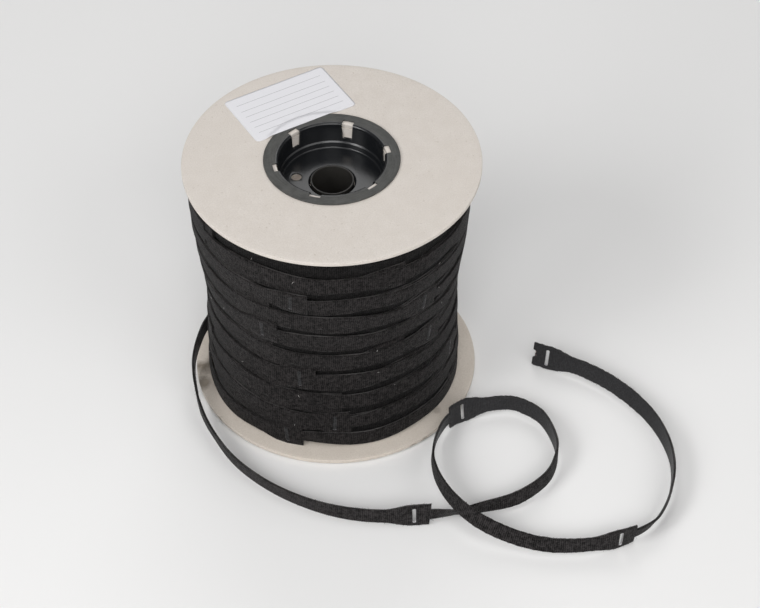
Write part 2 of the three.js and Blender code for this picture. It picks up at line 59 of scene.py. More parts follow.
# Reel
REEL_HEIGHT = 0.2012
FLANGE_RADIUS = 0.104
FLANGE_BORE = 0.0386
FLANGE_FLOOR = 0.0013
FLANGE_THICKNESS = 0.003
FLANGE_EDGE = 0.0004
FLANGE_SIDES = 256
FLANGE_RINGS = 24
FLANGE_WARP = 0.00012
WARP_WAVES = (2, 5)
WARP_SHARE = 0.5
WARP_SEEDS = (1.0, 2.2)
EDGE_STEPS = 3

# Hub: the profile of its shown face as radius and depth below the ring's outer face
SHEET = 0.001
RING_RADIUS = 0.0475
RING_BEND = (0.0388, 0.002)
RING_BEND_RADIUS = 0.002
NOTCH_RADIUS = 0.0415
WINDOW_DEPTH = 0.013
WINDOW_TOP_WIDTH = 0.0081
WINDOW_FOOT_WIDTH = 0.0065
WINDOW_COUNT = 6
WINDOW_BEARING = 74
CLAW_WIDTH = 0.005
CLAW_STEPS = ((0.0370, 0.0126), (0.0376, 0.0124), (0.0384, 0.0129), (0.0397, 0.0140), (0.0408, 0.0151))
STEP_DEPTH = 0.0158
STEP_RADIUS = 0.036
STEP_HEIGHT = 0.001
FOOT_CORNER = (0.0346, 0.0199)
FOOT_CORNER_RADIUS = 0.0014
LIP_CENTRE = (0.0172, 0.02295)
LIP_RADIUS = 0.00165
COLLAR_END = 0.0253
HUB_BEVEL = 0.00012
BEVEL_ANGLE = 50
BEVEL_SEGMENTS = 2
BEND_STEPS = 8
WALL_ROWS = 6
FLOOR_ROWS = 9
WINDOW_CELLS = 5
SECTOR_LINES = 26
DRIVE_HOLE_RADIUS = 0.0037
DRIVE_HOLE_PLACE = 0.0256
DRIVE_HOLE_BEARING = 169.6
DRIVE_HOLE_PATCH = 0.0052

# Arbor tube
ARBOR_RADIUS = 0.01525
ARBOR_WALL = 0.0012
ARBOR_END = 0.0198
ARBOR_EDGE = 0.0003
ARBOR_SIDES = 96

# Label
LABEL_LENGTH = 0.080
LABEL_WIDTH = 0.050
LABEL_CORNER = 0.003
LABEL_TURN = 30.8
LABEL_PLACE = (-0.0306, 0.0598)
LABEL_GAP = 0.00006
LABEL_SHEET = 0.00014
LABEL_STANDOFF = 0.0004
LABEL_RAMP = 0.0042
LABEL_CELL = 0.0012
LABEL_RIPPLE = 0.00012
LABEL_RIPPLES = 34
RULE_ROWS = (0.0085, 0.0158, 0.0222, 0.0286, 0.0350, 0.0414)
RULE_WIDTH = 0.00035
RULE_MARGIN = 0.006

# One tie of the band
TIE_LENGTH = 0.230
WOUND_TIE_LENGTH = 0.23375
WOUND_SLIP = 0.0043
BAND_THICKNESS = 0.0017
BODY_WIDTH = 0.0125
HEAD_WIDTH = 0.020
TIP_WIDTH = 0.0088
TIP_TAPER = 0.035
HEAD_FLARE = 0.020
HEAD_LENGTH = 0.013
SLOT_LENGTH = 0.014
SLOT_WIDTH = 0.0025
SLOT_SETBACK = 0.0113
SLOT_CORNER = 0.0006
BOUNDARY = 0.00003
EDGE_SHARE = 0.55
EDGE_LINE_SHARE = 0.94
EDGE_FRAY = 0.0003

# Winding
WINDING_RADIUS = 0.0906
WINDING_BULGE = 0.0084
BULGE_START = 0.0757
BULGE_END = 0.1771
FOOT_BULGE = 0.0022
FOOT_BULGE_END = 0.1044
WINDING_SHIFT = 0.0018
WINDING_FLOOR = 0.005
WINDING_TOP = 0.1962
REVERSAL_HEIGHT = 0.0295
LAYER_TURNS = 7.86
LAST_TURNS = 0.492
REVERSAL_TURNS = 0.1
CLIMB_TURNS = 0.2
LAYER_STEP = 0.0025
TAKE_OFF_BEARING = 161
STRAIGHT_RUN = 0.0125
TAKE_OFF_DROP = 0.0145
DROP_TURNS = 0.14
WANDER_HEIGHT = 0.0019
WANDER_RADIUS = 0.00035
WANDER_LEAN = 4.5
WANDER_BEATS = (1.7, 2.9, 5.3, 9.1)
OUTER_SEED = 1.0

# Free band: centre points as x, y, z and the lean of the upper edge to the outer side in degrees
BAND_ROUTE = (
    (-0.1044, -0.0150, 0.0182, -1),
    (-0.1024, -0.0390, 0.0150, 5),
    (-0.0970, -0.0613, 0.0120, 3),
    (-0.0866, -0.0851, 0.0115, 10),
    (-0.0707, -0.1094, 0.0103, 9),
    (-0.046, -0.1326, 0.0103, 9),
    (-0.018, -0.149, 0.0103, 6),
    (0.009, -0.158, 0.0103, 0),
    (0.037, -0.161, 0.0103, -3),
    (0.069, -0.159, 0.0103, -3),
    (0.076, -0.157, 0.0084, 14),
    (0.086, -0.154, 0.0063, 29),
    (0.104, -0.151, 0.008, 8),
    (0.130, -0.144, 0.0102, -8),
    (0.151, -0.126, 0.0103, -6),
    (0.158, -0.111, 0.0103, -4),
    (0.160, -0.095, 0.0103, 3),
    (0.151, -0.068, 0.0103, 10),
    (0.140, -0.058, 0.0103, 12),
    (0.128, -0.053, 0.0103, 7),
    (0.100, -0.058, 0.0103, 12),
    (0.0843, -0.0673, 0.0103, 5),
    (0.0742, -0.0868, 0.0114, -7),
    (0.071, -0.116, 0.015, -1),
    (0.0806, -0.1478, 0.0192, -10),
    (0.0988, -0.1688, 0.0176, -17),
    (0.1224, -0.1802, 0.0128, -15),
    (0.149, -0.187, 0.0104, -10),
    (0.182, -0.186, 0.0103, -4),
    (0.209, -0.177, 0.0102, 8),
    (0.225, -0.165, 0.010, 24),
    (0.238, -0.139, 0.0103, 5),
    (0.242, -0.108, 0.0103, 4),
    (0.233, -0.073, 0.0103, 15),
    (0.212, -0.042, 0.0103, 25),
    (0.187, -0.021, 0.0103, 23),
    (0.1476, -0.0024, 0.0103, 9),
)
FREE_TIES = 5
TEAR_DEPTH = 0.0026
TEAR_HEIGHT = 0.008
TEAR_RISE = 0.0004
TEAR_OUTLINE = ((-0.5, 0.0), (-0.42, 0.45), (-0.2, 0.7), (0.0, 0.6), (0.24, 1.0), (0.4, 0.8), (0.5, 0.0))

# Inner layers: name, how many bands down, bearing at the start, first and last height, turns that stay at
# the first height, turns in all, place of the start on its tie, rise into the gaps, and seed of the wander
UNDER_LAYERS = (
    ("winding_second_layer", 1, -22.3, 0.0113, 0.1862, 1.0, 9.663, 0.0190, 0.0007, 4.0),
    ("winding_third_layer", 2, 214.1, 0.1862, 0.0150, 0.0, 8.48, 0.11, 0.0, 6.5),
)
DWELL_BLEND = 0.12
RISE_SHARE = 0.55
UNDER_SLOTS = (0, 0.5)
OUTER_SLOTS = (0.6, math.inf)
SLOT_FILL = 0.25
REST_RUN = 0.045
SWELL_HEIGHT = 0.020
SWELL_RUN = 0.005
SLEEVE_DROP = 0.0052
SLEEVE_WALL = 0.002
SLEEVE_RINGS = 40
SLEEVE_SIDES = 96

# Lint: bearing and height on the winding, and length
LINT_SPOTS = (
    (238.7, 0.1846, 0.0022),
    (319.7, 0.1603, 0.0018),
    (256.2, 0.0549, 0.0022),
    (256.0, 0.1729, 0.0034),
    (290.6, 0.0979, 0.0016),
    (226.3, 0.0668, 0.0024),
    (253.6, 0.0245, 0.0016),
)
LINT_SEED = 11
LINT_STRAYS = 8
LINT_LENGTHS = (0.0008, 0.0016)
LINT_BEARINGS = (180, 360)
LINT_BEND = 2.0
LINT_RADIUS = 0.00008
LINT_REST = 0.0001
LINT_LIFT = 0.0005

# Fibres: sides and points of each, a direction that none of them follows, and the hairs on the band's edges
FIBRE_SIDES = 4
FIBRE_POINTS = 7
FIBRE_ASIDE = (0.3, -0.5, 0.8)
HAIR_RADIUS = 0.00006
HAIR_LENGTHS = (0.0002, 0.0009)
HAIR_ROOT = 0.0003
HAIR_LEVEL = 0.4
HAIR_SWEEP = 0.9
HAIR_CURL = 0.3
HAIR_POINTS = 3
FREE_HAIRS = 3500
FREE_HAIR_SEED = 21
WOUND_HAIRS = 1800
WOUND_HAIR_SEED = 22

# Pale threads at the torn end, and loose dark ones where two ties of the free band join
TEAR_THREADS = 40
TEAR_THREAD_LENGTHS = (0.0008, 0.0022)
TEAR_SPREAD = 0.0034
TEAR_SEED = 31
JOIN_THREADS = 5
JOIN_THREAD_LENGTHS = (0.002, 0.006)
JOIN_SEED = 32
THREAD_RADIUS = 0.00010
THREAD_LEVEL = 0.5
THREAD_RISE = 0.5
THREAD_CURL = 0.5

# Floor and light
FLOOR_SIZE = 8.0
FLOOR_DROP = 0.00005
FLOOR_COLOR = (0.832, 0.827, 0.822)
FLOOR_ROUGHNESS = 0.9
FLOOR_GLOSS = 0.1
WORLD_LEVEL = 0.14
LIGHT_TARGET = (0, 0, 0.1)
SOFT_LIGHTS = (
    ("key_light", (-1.8, -1.1, 1.9), 1.0, 0.268),
    ("low_key_light", (-1.7, -1.7, 1.3), 1.0, 0.20),
    ("front_light", (0.0, -2.2, 1.9), 1.6, 0.393),
    ("fill_light", (1.5, -1.6, 1.8), 1.6, 0.187),
    ("top_light", (0.0, 0.0, 2.6), 1.6, 0.14),
    ("back_light", (0.0, 2.0, 2.0), 1.6, 0.195),
    ("right_light", (2.0, -0.3, 0.9), 1.6, 0.10),
)
CORE_LIGHT = ("core_light", (-0.026, 0.010, 0.09), 0.01, 0.10)

# Meshing
SHARP_ANGLE = 35
WOUND_STEP = 0.0025
FREE_STEP = 0.0016
UNDER_STEP = 0.005
SEGMENT_SAMPLES = 60
TURN_SAMPLES = 360

# Noise: detail and roughness of each kind, and the span of middle values
CLOUD_NOISE = (4.0, 0.6)
GRAIN_NOISE = (3.0, 0.6)
SPECK_NOISE = (1.0, 0.4)
STREAK_NOISE = (4.0, 0.65)
FUZZ_NOISE = (4.0, 0.75)
FRAY_AND_HIGHLIGHT_NOISE = (2.0, 0.6)
MIDDLE_RANGE = (0.35, 0.65)

# Paperboard: colours, the lower flange's warmer tint, grain, and stains and painted shadow as middle, reach
# and depth of colour
BOARD_DARK = (0.648, 0.600, 0.552)
BOARD_LIGHT = (0.680, 0.634, 0.588)
FIBRE_COLOR = (0.53, 0.48, 0.43)
SPECK_COLOR = (0.40, 0.34, 0.28)
LOWER_TINT = (1.0, 0.975, 0.935)
BOARD_ROUGHNESS = 0.85
BOARD_ROUGHNESS_RANGE = (0.78, 0.95)
MOTTLE_SIZE = 0.011
FIBRE_SIZE = 0.0008
FIBRE_SHARE = 0.52
FIBRE_RANGE = (0.2, 0.8)
FIBRE_DEPTH = 0.00010
FIBRE_BUMP_SHARE = 0.8
SPECK_SIZE = 0.0022
SPECK_SHARE = 0.35
SPECK_RANGE = (0.70, 0.76)
STAINS_AND_SHADOW = (
    # The first two spots are a painted shadow of the free band on the lower flange; the others are brown
    # stains.
    ((-0.0985, -0.0115, 0.0043), 0.0145, 0.85),
    ((-0.0970, -0.0262, 0.0043), 0.0095, 0.72),
    ((-0.084, -0.062, 0.0012), 0.0050, 0.5),
    ((0.057, -0.0875, 0.0012), 0.0050, 0.5),
    ((0.0655, -0.081, 0.0020), 0.0035, 0.5),
    ((0.0748, -0.0545, 0.0043), 0.0050, 0.35),
)
STAIN_AND_SHADOW_RAGGED_SHARE = 0.45
STAIN_AND_SHADOW_COLOR = (0.20, 0.165, 0.125)

# Black steel: the worn ring, which ends at RING_REACH along the pressed profile, and the deep faces below it
STEEL_COLOR = (0.02, 0.021, 0.023)
STEEL_ROUGHNESS = 0.3
STEEL_GLOSS = 0.5
WORN_DARK = (0.027, 0.027, 0.026)
WORN_LIGHT = (0.057, 0.057, 0.0535)
WORN_ROUGHNESS = 0.6
STREAK_COLOR = (0.097, 0.098, 0.091)
STREAK_SIZE = 0.009
STREAK_STRETCH = 6
STREAK_SHARE = 0.45
DEEP_DARK = (0.006, 0.0066, 0.0078)
DEEP_LIGHT = (0.011, 0.0119, 0.0136)
DEEP_ROUGHNESS = 0.25
CLOUD_SIZE = 0.006
GRAIN_SIZE = 0.0007
GRAIN_DEPTH = 0.00002
GRAIN_BUMP_SHARE = 0.35
RING_REACH = (0.0096, 0.0088)
RING_RAGGED = 0.0012
SCUFF_SHARE = 0.5
SCUFF_RANGE = (0.40, 0.60)

# Bare steel of the arbor tube
TUBE_COLOR = (0.05, 0.047, 0.042)
TUBE_DARK = (0.016, 0.015, 0.0135)
TUBE_LIGHT = (0.030, 0.028, 0.025)
TUBE_ROUGHNESS = 0.45
TUBE_GLOSS = 0.4
TUBE_DEPTH = 0.00003
TUBE_BUMP_SHARE = 0.3

# Label paper and its ruled lines
LABEL_COLOR = (0.78, 0.78, 0.80)
PAPER_DARK = (0.675, 0.67, 0.70)
PAPER_LIGHT = (0.72, 0.715, 0.743)
PAPER_ROUGHNESS = 0.42
PAPER_DEPTH = 0.00003
PAPER_BUMP_SHARE = 0.3
RULE_COLOR = (0.2, 0.2, 0.21)
RULE_SHARE = 0.75

# Band: name, roughness, darkest and lightest colour of each face with a weave, and the weaves
LOOP_ROUGHNESS = 0.95
HOOK_ROUGHNESS = 0.5
CUT_ROUGHNESS = 0.9
BAND_FACES = (
    ("band_loops", LOOP_ROUGHNESS, (0.0008, 0.0006, 0.0006), (0.0272, 0.0240, 0.0240)),
    # The loop face of the free band is painted lighter than on the winding, as painted light.
    ("free_loops_painted_light", LOOP_ROUGHNESS, (0.0020, 0.0017, 0.0017), (0.0385, 0.0348, 0.0352)),
    ("band_hooks", HOOK_ROUGHNESS, (0.0110, 0.0108, 0.0116), (0.0355, 0.0348, 0.0368)),
    # The slot faces are painted light: pale walls and a lighter bed stand for light seen in the slots.
    ("slot_edge_painted_light", CUT_ROUGHNESS, (0.10, 0.098, 0.10), (0.20, 0.195, 0.20)),
    ("slot_cut_painted_light", CUT_ROUGHNESS, (0.42, 0.415, 0.42), (0.60, 0.59, 0.60)),
    ("slot_bed_painted_light", CUT_ROUGHNESS, (0.014, 0.014, 0.0147), (0.046, 0.0455, 0.047)),
    # The loop face painted darker, as painted shade deep in the winding.
    ("band_deep_painted_shade", LOOP_ROUGHNESS, (0.0015, 0.0013, 0.0013), (0.014, 0.0127, 0.0127)),
)
# Cut edges: the pale colour is partly loose threads, partly a painted highlight where edges catch the light.
EDGE_AND_HIGHLIGHT_COLORS = ((0.016, 0.0147, 0.0143), (0.088, 0.084, 0.083))
LINT_COLORS = ((0.54, 0.52, 0.50), (0.70, 0.68, 0.66))
TORN_COLORS = ((0.28, 0.20, 0.18), (0.46, 0.36, 0.34))
BAND_GLOSS = 0.18
BAND_SHEEN = 0.075
SHEEN_ROUGHNESS = 0.35
RIB_PITCH = 0.00145
RIB_SHARE = 0.05
HOOK_PITCH = 0.0013
HOOK_DEPTH = 0.0003
HOOK_RANGE = (0.34, 0.66)
HOOK_CLUMP_SHARE = 0.12
CLUMP_SIZE = 0.0028
CLUMP_SHARE = 0.45
FUZZ_SIZE = 0.0012
FUZZ_DEPTH = 0.0006
FUZZ_RANGE = (0.42, 0.58)
# Stretches of pale edge: partly fray, partly painted highlight.
FRAY_AND_HIGHLIGHT_RUN = 0.030
FRAY_AND_HIGHLIGHT_SIZE = 0.0012
FRAY_AND_HIGHLIGHT_SHARE = 0.35
FRAY_AND_HIGHLIGHT_RANGE = (0.58, 0.92)


def smooth(share):
    share = np.clip(share, 0, 1)
    return share * share * (3 - 2 * share)


def polar(radius, turn, height):
    return np.stack([radius * np.cos(turn), radius * np.sin(turn), height], axis=-1)


def steps(path):
    return np.linalg.norm(np.diff(path, axis=0), axis=1)


def path_length(path):
    return np.sum(steps(path))


def run_along(path):
    return np.concatenate(([0.0], np.cumsum(steps(path))))


def add_object(name, data):
    made = bpy.data.objects.new(name, data)
    bpy.context.scene.collection.objects.link(made)
    return made


# Camera

def make_camera():
    camera = add_object("photo_camera", bpy.data.cameras.new("photo_camera"))
    camera.data.lens = CAMERA_LENS
    camera.data.sensor_width = CAMERA_SENSOR
    camera.location = CAMERA_PLACE
    camera.rotation_euler = (radians(90 - CAMERA_DOWN), 0, 0)
    camera.rotation_euler.rotate_axis("Z", radians(CAMERA_ROLL))
    bpy.context.scene.camera = camera


make_camera()


# Node helpers

def new_material(name, color, roughness, **sockets):
    look = bpy.data.materials.new(name)
    look.use_nodes = True
    shader = look.node_tree.nodes["Principled BSDF"]
    shader.inputs["Base Color"].default_value = (*color, 1)
    shader.inputs["Roughness"].default_value = roughness
    for socket, value in sockets.items():
        shader.inputs[socket.replace("_", " ")].default_value = value
    return look


def node(look, kind, inputs=(), **settings):
    made = look.node_tree.nodes.new(kind)
    for key, value in settings.items():
        setattr(made, key, value)
    for key, value in dict(inputs).items():
        if isinstance(value, bpy.types.NodeSocket):
            look.node_tree.links.new(value, made.inputs[key])
        else:
            made.inputs[key].default_value = value
    return made


def feed(look, socket, value):
    shader = look.node_tree.nodes["Principled BSDF"]
    look.node_tree.links.new(value, shader.inputs[socket])


def object_place(look):
    return node(look, "ShaderNodeTexCoord").outputs["Object"]


def map_vector(look):
    return node(look, "ShaderNodeUVMap", uv_map="place").outputs["UV"]


def map_place(look):
    return node(look, "ShaderNodeSeparateXYZ", {"Vector": map_vector(look)})


def noise(look, place, size, detail=2.0, roughness=0.5):
    inputs = {"Vector": place, "Scale": 1 / size, "Detail": detail, "Roughness": roughness}
    return node(look, "ShaderNodeTexNoise", inputs).outputs["Fac"]


def calc(look, operation, first, second=0.0, third=0.0):
    return node(look, "ShaderNodeMath", {0: first, 1: second, 2: third}, operation=operation).outputs[0]


def scaled(look, value, factor, added=0.0):
    return calc(look, "MULTIPLY_ADD", value, factor, added)


def span(look, value, low, high, to_low=0.0, to_high=1.0):
    inputs = {"Value": value, "From Min": low, "From Max": high, "To Min": to_low, "To Max": to_high}
    return node(look, "ShaderNodeMapRange", inputs).outputs["Result"]


def blend(look, share, first, second):
    inputs = {0: share}
    for key, color in ((6, first), (7, second)):
        inputs[key] = (*color, 1) if isinstance(color, tuple) else color
    return node(look, "ShaderNodeMix", inputs, data_type="RGBA").outputs[2]


def bump(look, height, depth, strength=1.0):
    inputs = {"Height": height, "Distance": depth, "Strength": strength}
    feed(look, "Normal", node(look, "ShaderNodeBump", inputs).outputs["Normal"])


# Materials

def tinted(color, tint):
    return tuple(value * share for value, share in zip(color, tint))


def board_material(name, tint, stains_and_shadow):
    # Spots of brown colour, each with its middle, its reach and how deep its colour is: stains, and a
    # painted shadow of the free band.
    dark, light, fibres = [tinted(color, tint) for color in (BOARD_DARK, BOARD_LIGHT, FIBRE_COLOR)]
    look = new_material(name, light, BOARD_ROUGHNESS)
    place = object_place(look)
    mottle = span(look, noise(look, place, MOTTLE_SIZE, *CLOUD_NOISE), *MIDDLE_RANGE)
    fibre = noise(look, place, FIBRE_SIZE, *GRAIN_NOISE)
    speck = span(look, noise(look, place, SPECK_SIZE, *SPECK_NOISE), *SPECK_RANGE)
    color = blend(look, mottle, dark, light)
    color = blend(look, span(look, fibre, *MIDDLE_RANGE, 0.0, FIBRE_SHARE), color, fibres)
    color = blend(look, scaled(look, speck, SPECK_SHARE), color, SPECK_COLOR)
    for middle, reach, deepest in stains_and_shadow:
        away = node(look, "ShaderNodeVectorMath", {0: place, 1: middle}, operation="DISTANCE")
        ragged = reach * STAIN_AND_SHADOW_RAGGED_SHARE
        away = scaled(look, mottle, ragged, away.outputs["Value"])
        color = blend(look, span(look, away, reach, ragged, 0.0, deepest), color, STAIN_AND_SHADOW_COLOR)
    feed(look, "Base Color", color)
    feed(look, "Roughness", span(look, fibre, *FIBRE_RANGE, *BOARD_ROUGHNESS_RANGE))
    bump(look, fibre, FIBRE_DEPTH, FIBRE_BUMP_SHARE)
    return look


def steel_material():
    # The map's second value runs along the pressed profile, from 0 at the ring's edge.
    look = new_material("black_steel", STEEL_COLOR, STEEL_ROUGHNESS, Specular_IOR_Level=STEEL_GLOSS)
    place = object_place(look)
    cloud = noise(look, place, CLOUD_SIZE, *CLOUD_NOISE)
    grain = noise(look, place, GRAIN_SIZE, *GRAIN_NOISE)
    along = map_place(look).outputs["Y"]
    ring = span(look, scaled(look, cloud, RING_RAGGED, along), *RING_REACH)
    scuff = scaled(look, grain, 1 - SCUFF_SHARE)
    scuff = scaled(look, cloud, SCUFF_SHARE, scuff)
    drawn = {"Vector": map_vector(look), "Scale": (1, STREAK_STRETCH, 1)}
    drawn = node(look, "ShaderNodeMapping", drawn).outputs["Vector"]
    streak = span(look, noise(look, drawn, STREAK_SIZE, *STREAK_NOISE), *MIDDLE_RANGE)
    worn = blend(look, span(look, scuff, *SCUFF_RANGE), WORN_DARK, WORN_LIGHT)
    worn = blend(look, scaled(look, streak, STREAK_SHARE), worn, STREAK_COLOR)
    deep = blend(look, cloud, DEEP_DARK, DEEP_LIGHT)
    feed(look, "Base Color", blend(look, ring, deep, worn))
    feed(look, "Roughness", span(look, ring, 0.0, 1.0, DEEP_ROUGHNESS, WORN_ROUGHNESS))
    bump(look, grain, GRAIN_DEPTH, GRAIN_BUMP_SHARE)
    return look


def tube_material():
    look = new_material("tube_steel", TUBE_COLOR, TUBE_ROUGHNESS, Specular_IOR_Level=TUBE_GLOSS)
    cloud = noise(look, object_place(look), CLOUD_SIZE, *CLOUD_NOISE)
    feed(look, "Base Color", blend(look, cloud, TUBE_DARK, TUBE_LIGHT))
    bump(look, cloud, TUBE_DEPTH, TUBE_BUMP_SHARE)
    return look


def band_material(name, roughness, dark, light):
    # The map runs along the band and across it, both in metres.
    hooks = name == "band_hooks"
    pitch = HOOK_PITCH if hooks else RIB_PITCH
    clump_share = HOOK_CLUMP_SHARE if hooks else CLUMP_SHARE
    color_range = HOOK_RANGE if hooks else FUZZ_RANGE
    look = new_material(name, dark, roughness, Specular_IOR_Level=BAND_GLOSS,
                        Sheen_Weight=BAND_SHEEN, Sheen_Roughness=SHEEN_ROUGHNESS)
    place = object_place(look)
    clump = noise(look, place, CLUMP_SIZE, *GRAIN_NOISE)
    fuzz = noise(look, place, FUZZ_SIZE, *FUZZ_NOISE)
    along = map_place(look).outputs["X"]
    rib = calc(look, "SINE", scaled(look, along, 2 * math.pi / pitch))
    share = scaled(look, fuzz, 1 - clump_share)
    share = scaled(look, clump, clump_share, share)
    share = scaled(look, rib, RIB_SHARE, share)
    feed(look, "Base Color", blend(look, span(look, share, *color_range), dark, light))
    weave = scaled(look, rib, RIB_SHARE, fuzz)
    bump(look, weave, HOOK_DEPTH if hooks else FUZZ_DEPTH)
    return look


def edge_material():
    # A cut edge is dark, with pale streaks along some stretches of it: partly loose threads, partly a
    # painted highlight where the edge catches the light.
    look = new_material("band_edge", EDGE_AND_HIGHLIGHT_COLORS[0], CUT_ROUGHNESS, Specular_IOR_Level=BAND_GLOSS)
    place = object_place(look)
    stretch = noise(look, place, FRAY_AND_HIGHLIGHT_RUN)
    fray_and_highlight = noise(look, place, FRAY_AND_HIGHLIGHT_SIZE, *FRAY_AND_HIGHLIGHT_NOISE)
    share = scaled(look, fray_and_highlight, FRAY_AND_HIGHLIGHT_SHARE, stretch)
    feed(look, "Base Color", blend(look, span(look, share, *FRAY_AND_HIGHLIGHT_RANGE), *EDGE_AND_HIGHLIGHT_COLORS))
    bump(look, fray_and_highlight, HOOK_DEPTH)
    return look


def fibre_material(name, colors):
    look = new_material(name, colors[1], CUT_ROUGHNESS)
    fuzz = noise(look, object_place(look), FUZZ_SIZE)
    feed(look, "Base Color", blend(look, fuzz, *colors))
    return look


def label_material():
    # The map runs along the label and across it, from its lower left corner, in metres.
    look = new_material("label_paper", LABEL_COLOR, PAPER_ROUGHNESS)
    parts = map_place(look)
    along, across = parts.outputs["X"], parts.outputs["Y"]
    rules = 0.0
    for row in RULE_ROWS:
        line = calc(look, "COMPARE", across, LABEL_WIDTH - row, RULE_WIDTH / 2)
        rules = calc(look, "MAXIMUM", rules, line)
    for operation, limit in (("GREATER_THAN", RULE_MARGIN), ("LESS_THAN", LABEL_LENGTH - RULE_MARGIN)):
        rules = scaled(look, rules, calc(look, operation, along, limit))
    rules = scaled(look, rules, RULE_SHARE)
    grain = noise(look, object_place(look), FIBRE_SIZE)
    paper = blend(look, grain, PAPER_DARK, PAPER_LIGHT)
    feed(look, "Base Color", blend(look, rules, paper, RULE_COLOR))
    bump(look, grain, PAPER_DEPTH, PAPER_BUMP_SHARE)
    return look


BOARD = board_material("paperboard", (1, 1, 1), ())
# The lower board carries the stains and the painted shadow of the free band.
LOWER_BOARD = board_material("lower_paperboard", LOWER_TINT, STAINS_AND_SHADOW)
STEEL = steel_material()
TUBE_STEEL = tube_material()
PAPER = label_material()
LINT = fibre_material("lint", LINT_COLORS)
TORN_FIBRE = fibre_material("torn_fibre", TORN_COLORS)
CUT_EDGE = edge_material()
LOOP_FACE, LIT_FREE_LOOPS, HOOK_FACE, LIT_SLOT_EDGE, LIT_SLOT_CUT, LIT_SLOT_BED, SHADED_DEEP_FACE = [
    band_material(*face) for face in BAND_FACES]


# Mesh helpers

def make_piece(name, points, faces, *materials, kinds=None, place=None):
    # Each face's kind picks its material, and each point's place goes to the map of that name.
    mesh = bpy.data.meshes.new(name)
    mesh.from_pydata(np.reshape(points, (-1, 3)).tolist(), [], faces)
    for material in materials:
        mesh.materials.append(material)
    if kinds is not None:
        mesh.polygons.foreach_set("material_index", np.asarray(kinds, dtype=np.int32))
    if place is not None:
        layer = mesh.uv_layers.new(name="place")
        corner = np.empty(len(mesh.loops), dtype=np.int32)
        mesh.loops.foreach_get("vertex_index", corner)
        place = np.reshape(place, (-1, 2)).astype(np.float32)
        layer.data.foreach_set("uv", place[corner].ravel())
    mesh.polygons.foreach_set("use_smooth", np.ones(len(mesh.polygons), dtype=bool))
    mesh.update()
    mesh.set_sharp_from_angle(angle=radians(SHARP_ANGLE))
    return add_object(name, mesh)


def settle(piece, slot_name, *nodes):
    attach(piece, "root")
    if nodes:
        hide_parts(*nodes)
    return piece


def add_modifier(piece, kind, **settings):
    modifier = piece.modifiers.new(kind.lower(), kind)
    for key, value in settings.items():
        setattr(modifier, key, value)


def arc(centre, radius, start, end, steps):
    angles = radians(np.linspace(start, end, steps + 1))
    return [(centre[0] + radius * math.cos(a), centre[1] + radius * math.sin(a)) for a in angles]


def rounded_ring(inner, outer, low, high, edge):
    # The four round corners of a ring's section, from the lower outer one to the lower inner one.
    places = ((outer - edge, low + edge), (outer - edge, high - edge),
              (inner + edge, high - edge), (inner + edge, low + edge))
    return [arc(place, edge, 90 * k - 90, 90 * k, EDGE_STEPS) for k, place in enumerate(places)]


def turned(profile, turn):
    # Points of a profile turned about the axis, and their places round it and along the profile.
    values = (profile[:, 0], profile[:, 1], run_along(profile))
    radius, height, along = [np.tile(value, (len(turn), 1)) for value in values]
    return polar(radius, turn, height), np.stack([turn * radius, along], axis=-1)


def revolve(name, profile, sides, material, warp=None):
    # The profile is a closed outline of radius and height.
    count = len(profile)
    angles = np.linspace(0, 2 * np.pi, sides, endpoint=False)
    points, place = turned(np.array(profile), np.tile(angles[:, None], (1, count)))
    if warp is not None:
        points[..., 2] += warp(points)
    faces = []
    for i in range(sides):
        j = (i + 1) % sides
        for k in range(count):
            n = (k + 1) % count
            faces.append((i * count + k, j * count + k, j * count + n, i * count + n))
    return make_piece(name, points, faces, material, place=place)


# Band of ties: a closed strip with the outline of the ties, built from sections along a path

def half_width(along):
    head_start = TIE_LENGTH - HEAD_LENGTH
    taper = np.sin(np.pi / 2 * np.clip(along / TIP_TAPER, 0, 1))
    tip = (TIP_WIDTH + (BODY_WIDTH - TIP_WIDTH) * taper) / 2
    flare = smooth((along - head_start + HEAD_FLARE) / HEAD_FLARE)
    return tip + (HEAD_WIDTH - BODY_WIDTH) / 2 * flare


def band_sections(length, step, phase, tie_length, slots):
    # Distances along the path, the place of each on its tie, and whether a slot lies or ends there.
    stretch = tie_length / TIE_LENGTH
    slot_near = TIE_LENGTH - SLOT_SETBACK - SLOT_WIDTH / 2
    slot_far = slot_near + SLOT_WIDTH
    marks = [0.0, SLOT_WIDTH, slot_near, slot_near + SLOT_WIDTH / 2, slot_far, TIE_LENGTH - BOUNDARY]
    plain = np.linspace(0, TIE_LENGTH, round(TIE_LENGTH / step) + 1)[1:-1]
    clear = np.min(np.abs(plain[:, None] - np.array(marks)[None, :]), axis=1) > step / 2
    along_tie = np.sort(np.concatenate((plain[clear], marks)))
    distance, along = [0.0], [(phase / stretch) % TIE_LENGTH]
    for tie in range(int(phase // tie_length), int((length + phase) // tie_length) + 1):
        for a in along_tie:
            d = tie * tie_length - phase + a * stretch
            if BOUNDARY < d < length - BOUNDARY:
                distance.append(d)
                along.append(a)
    # The last section belongs to the tie that ends there, not to the next one.
    last = ((length - BOUNDARY + phase) / stretch) % TIE_LENGTH
    distance = np.array([*distance, length])
    along = np.array([*along, min(last, TIE_LENGTH - BOUNDARY)])
    in_slot = (along > slot_near - BOUNDARY) & (along < slot_far - BOUNDARY)
    in_slot &= (distance > slots[0]) & (distance < slots[1])
    at_end = np.isclose(along, slot_near) | np.isclose(along, slot_far)
    return distance, along, in_slot, at_end


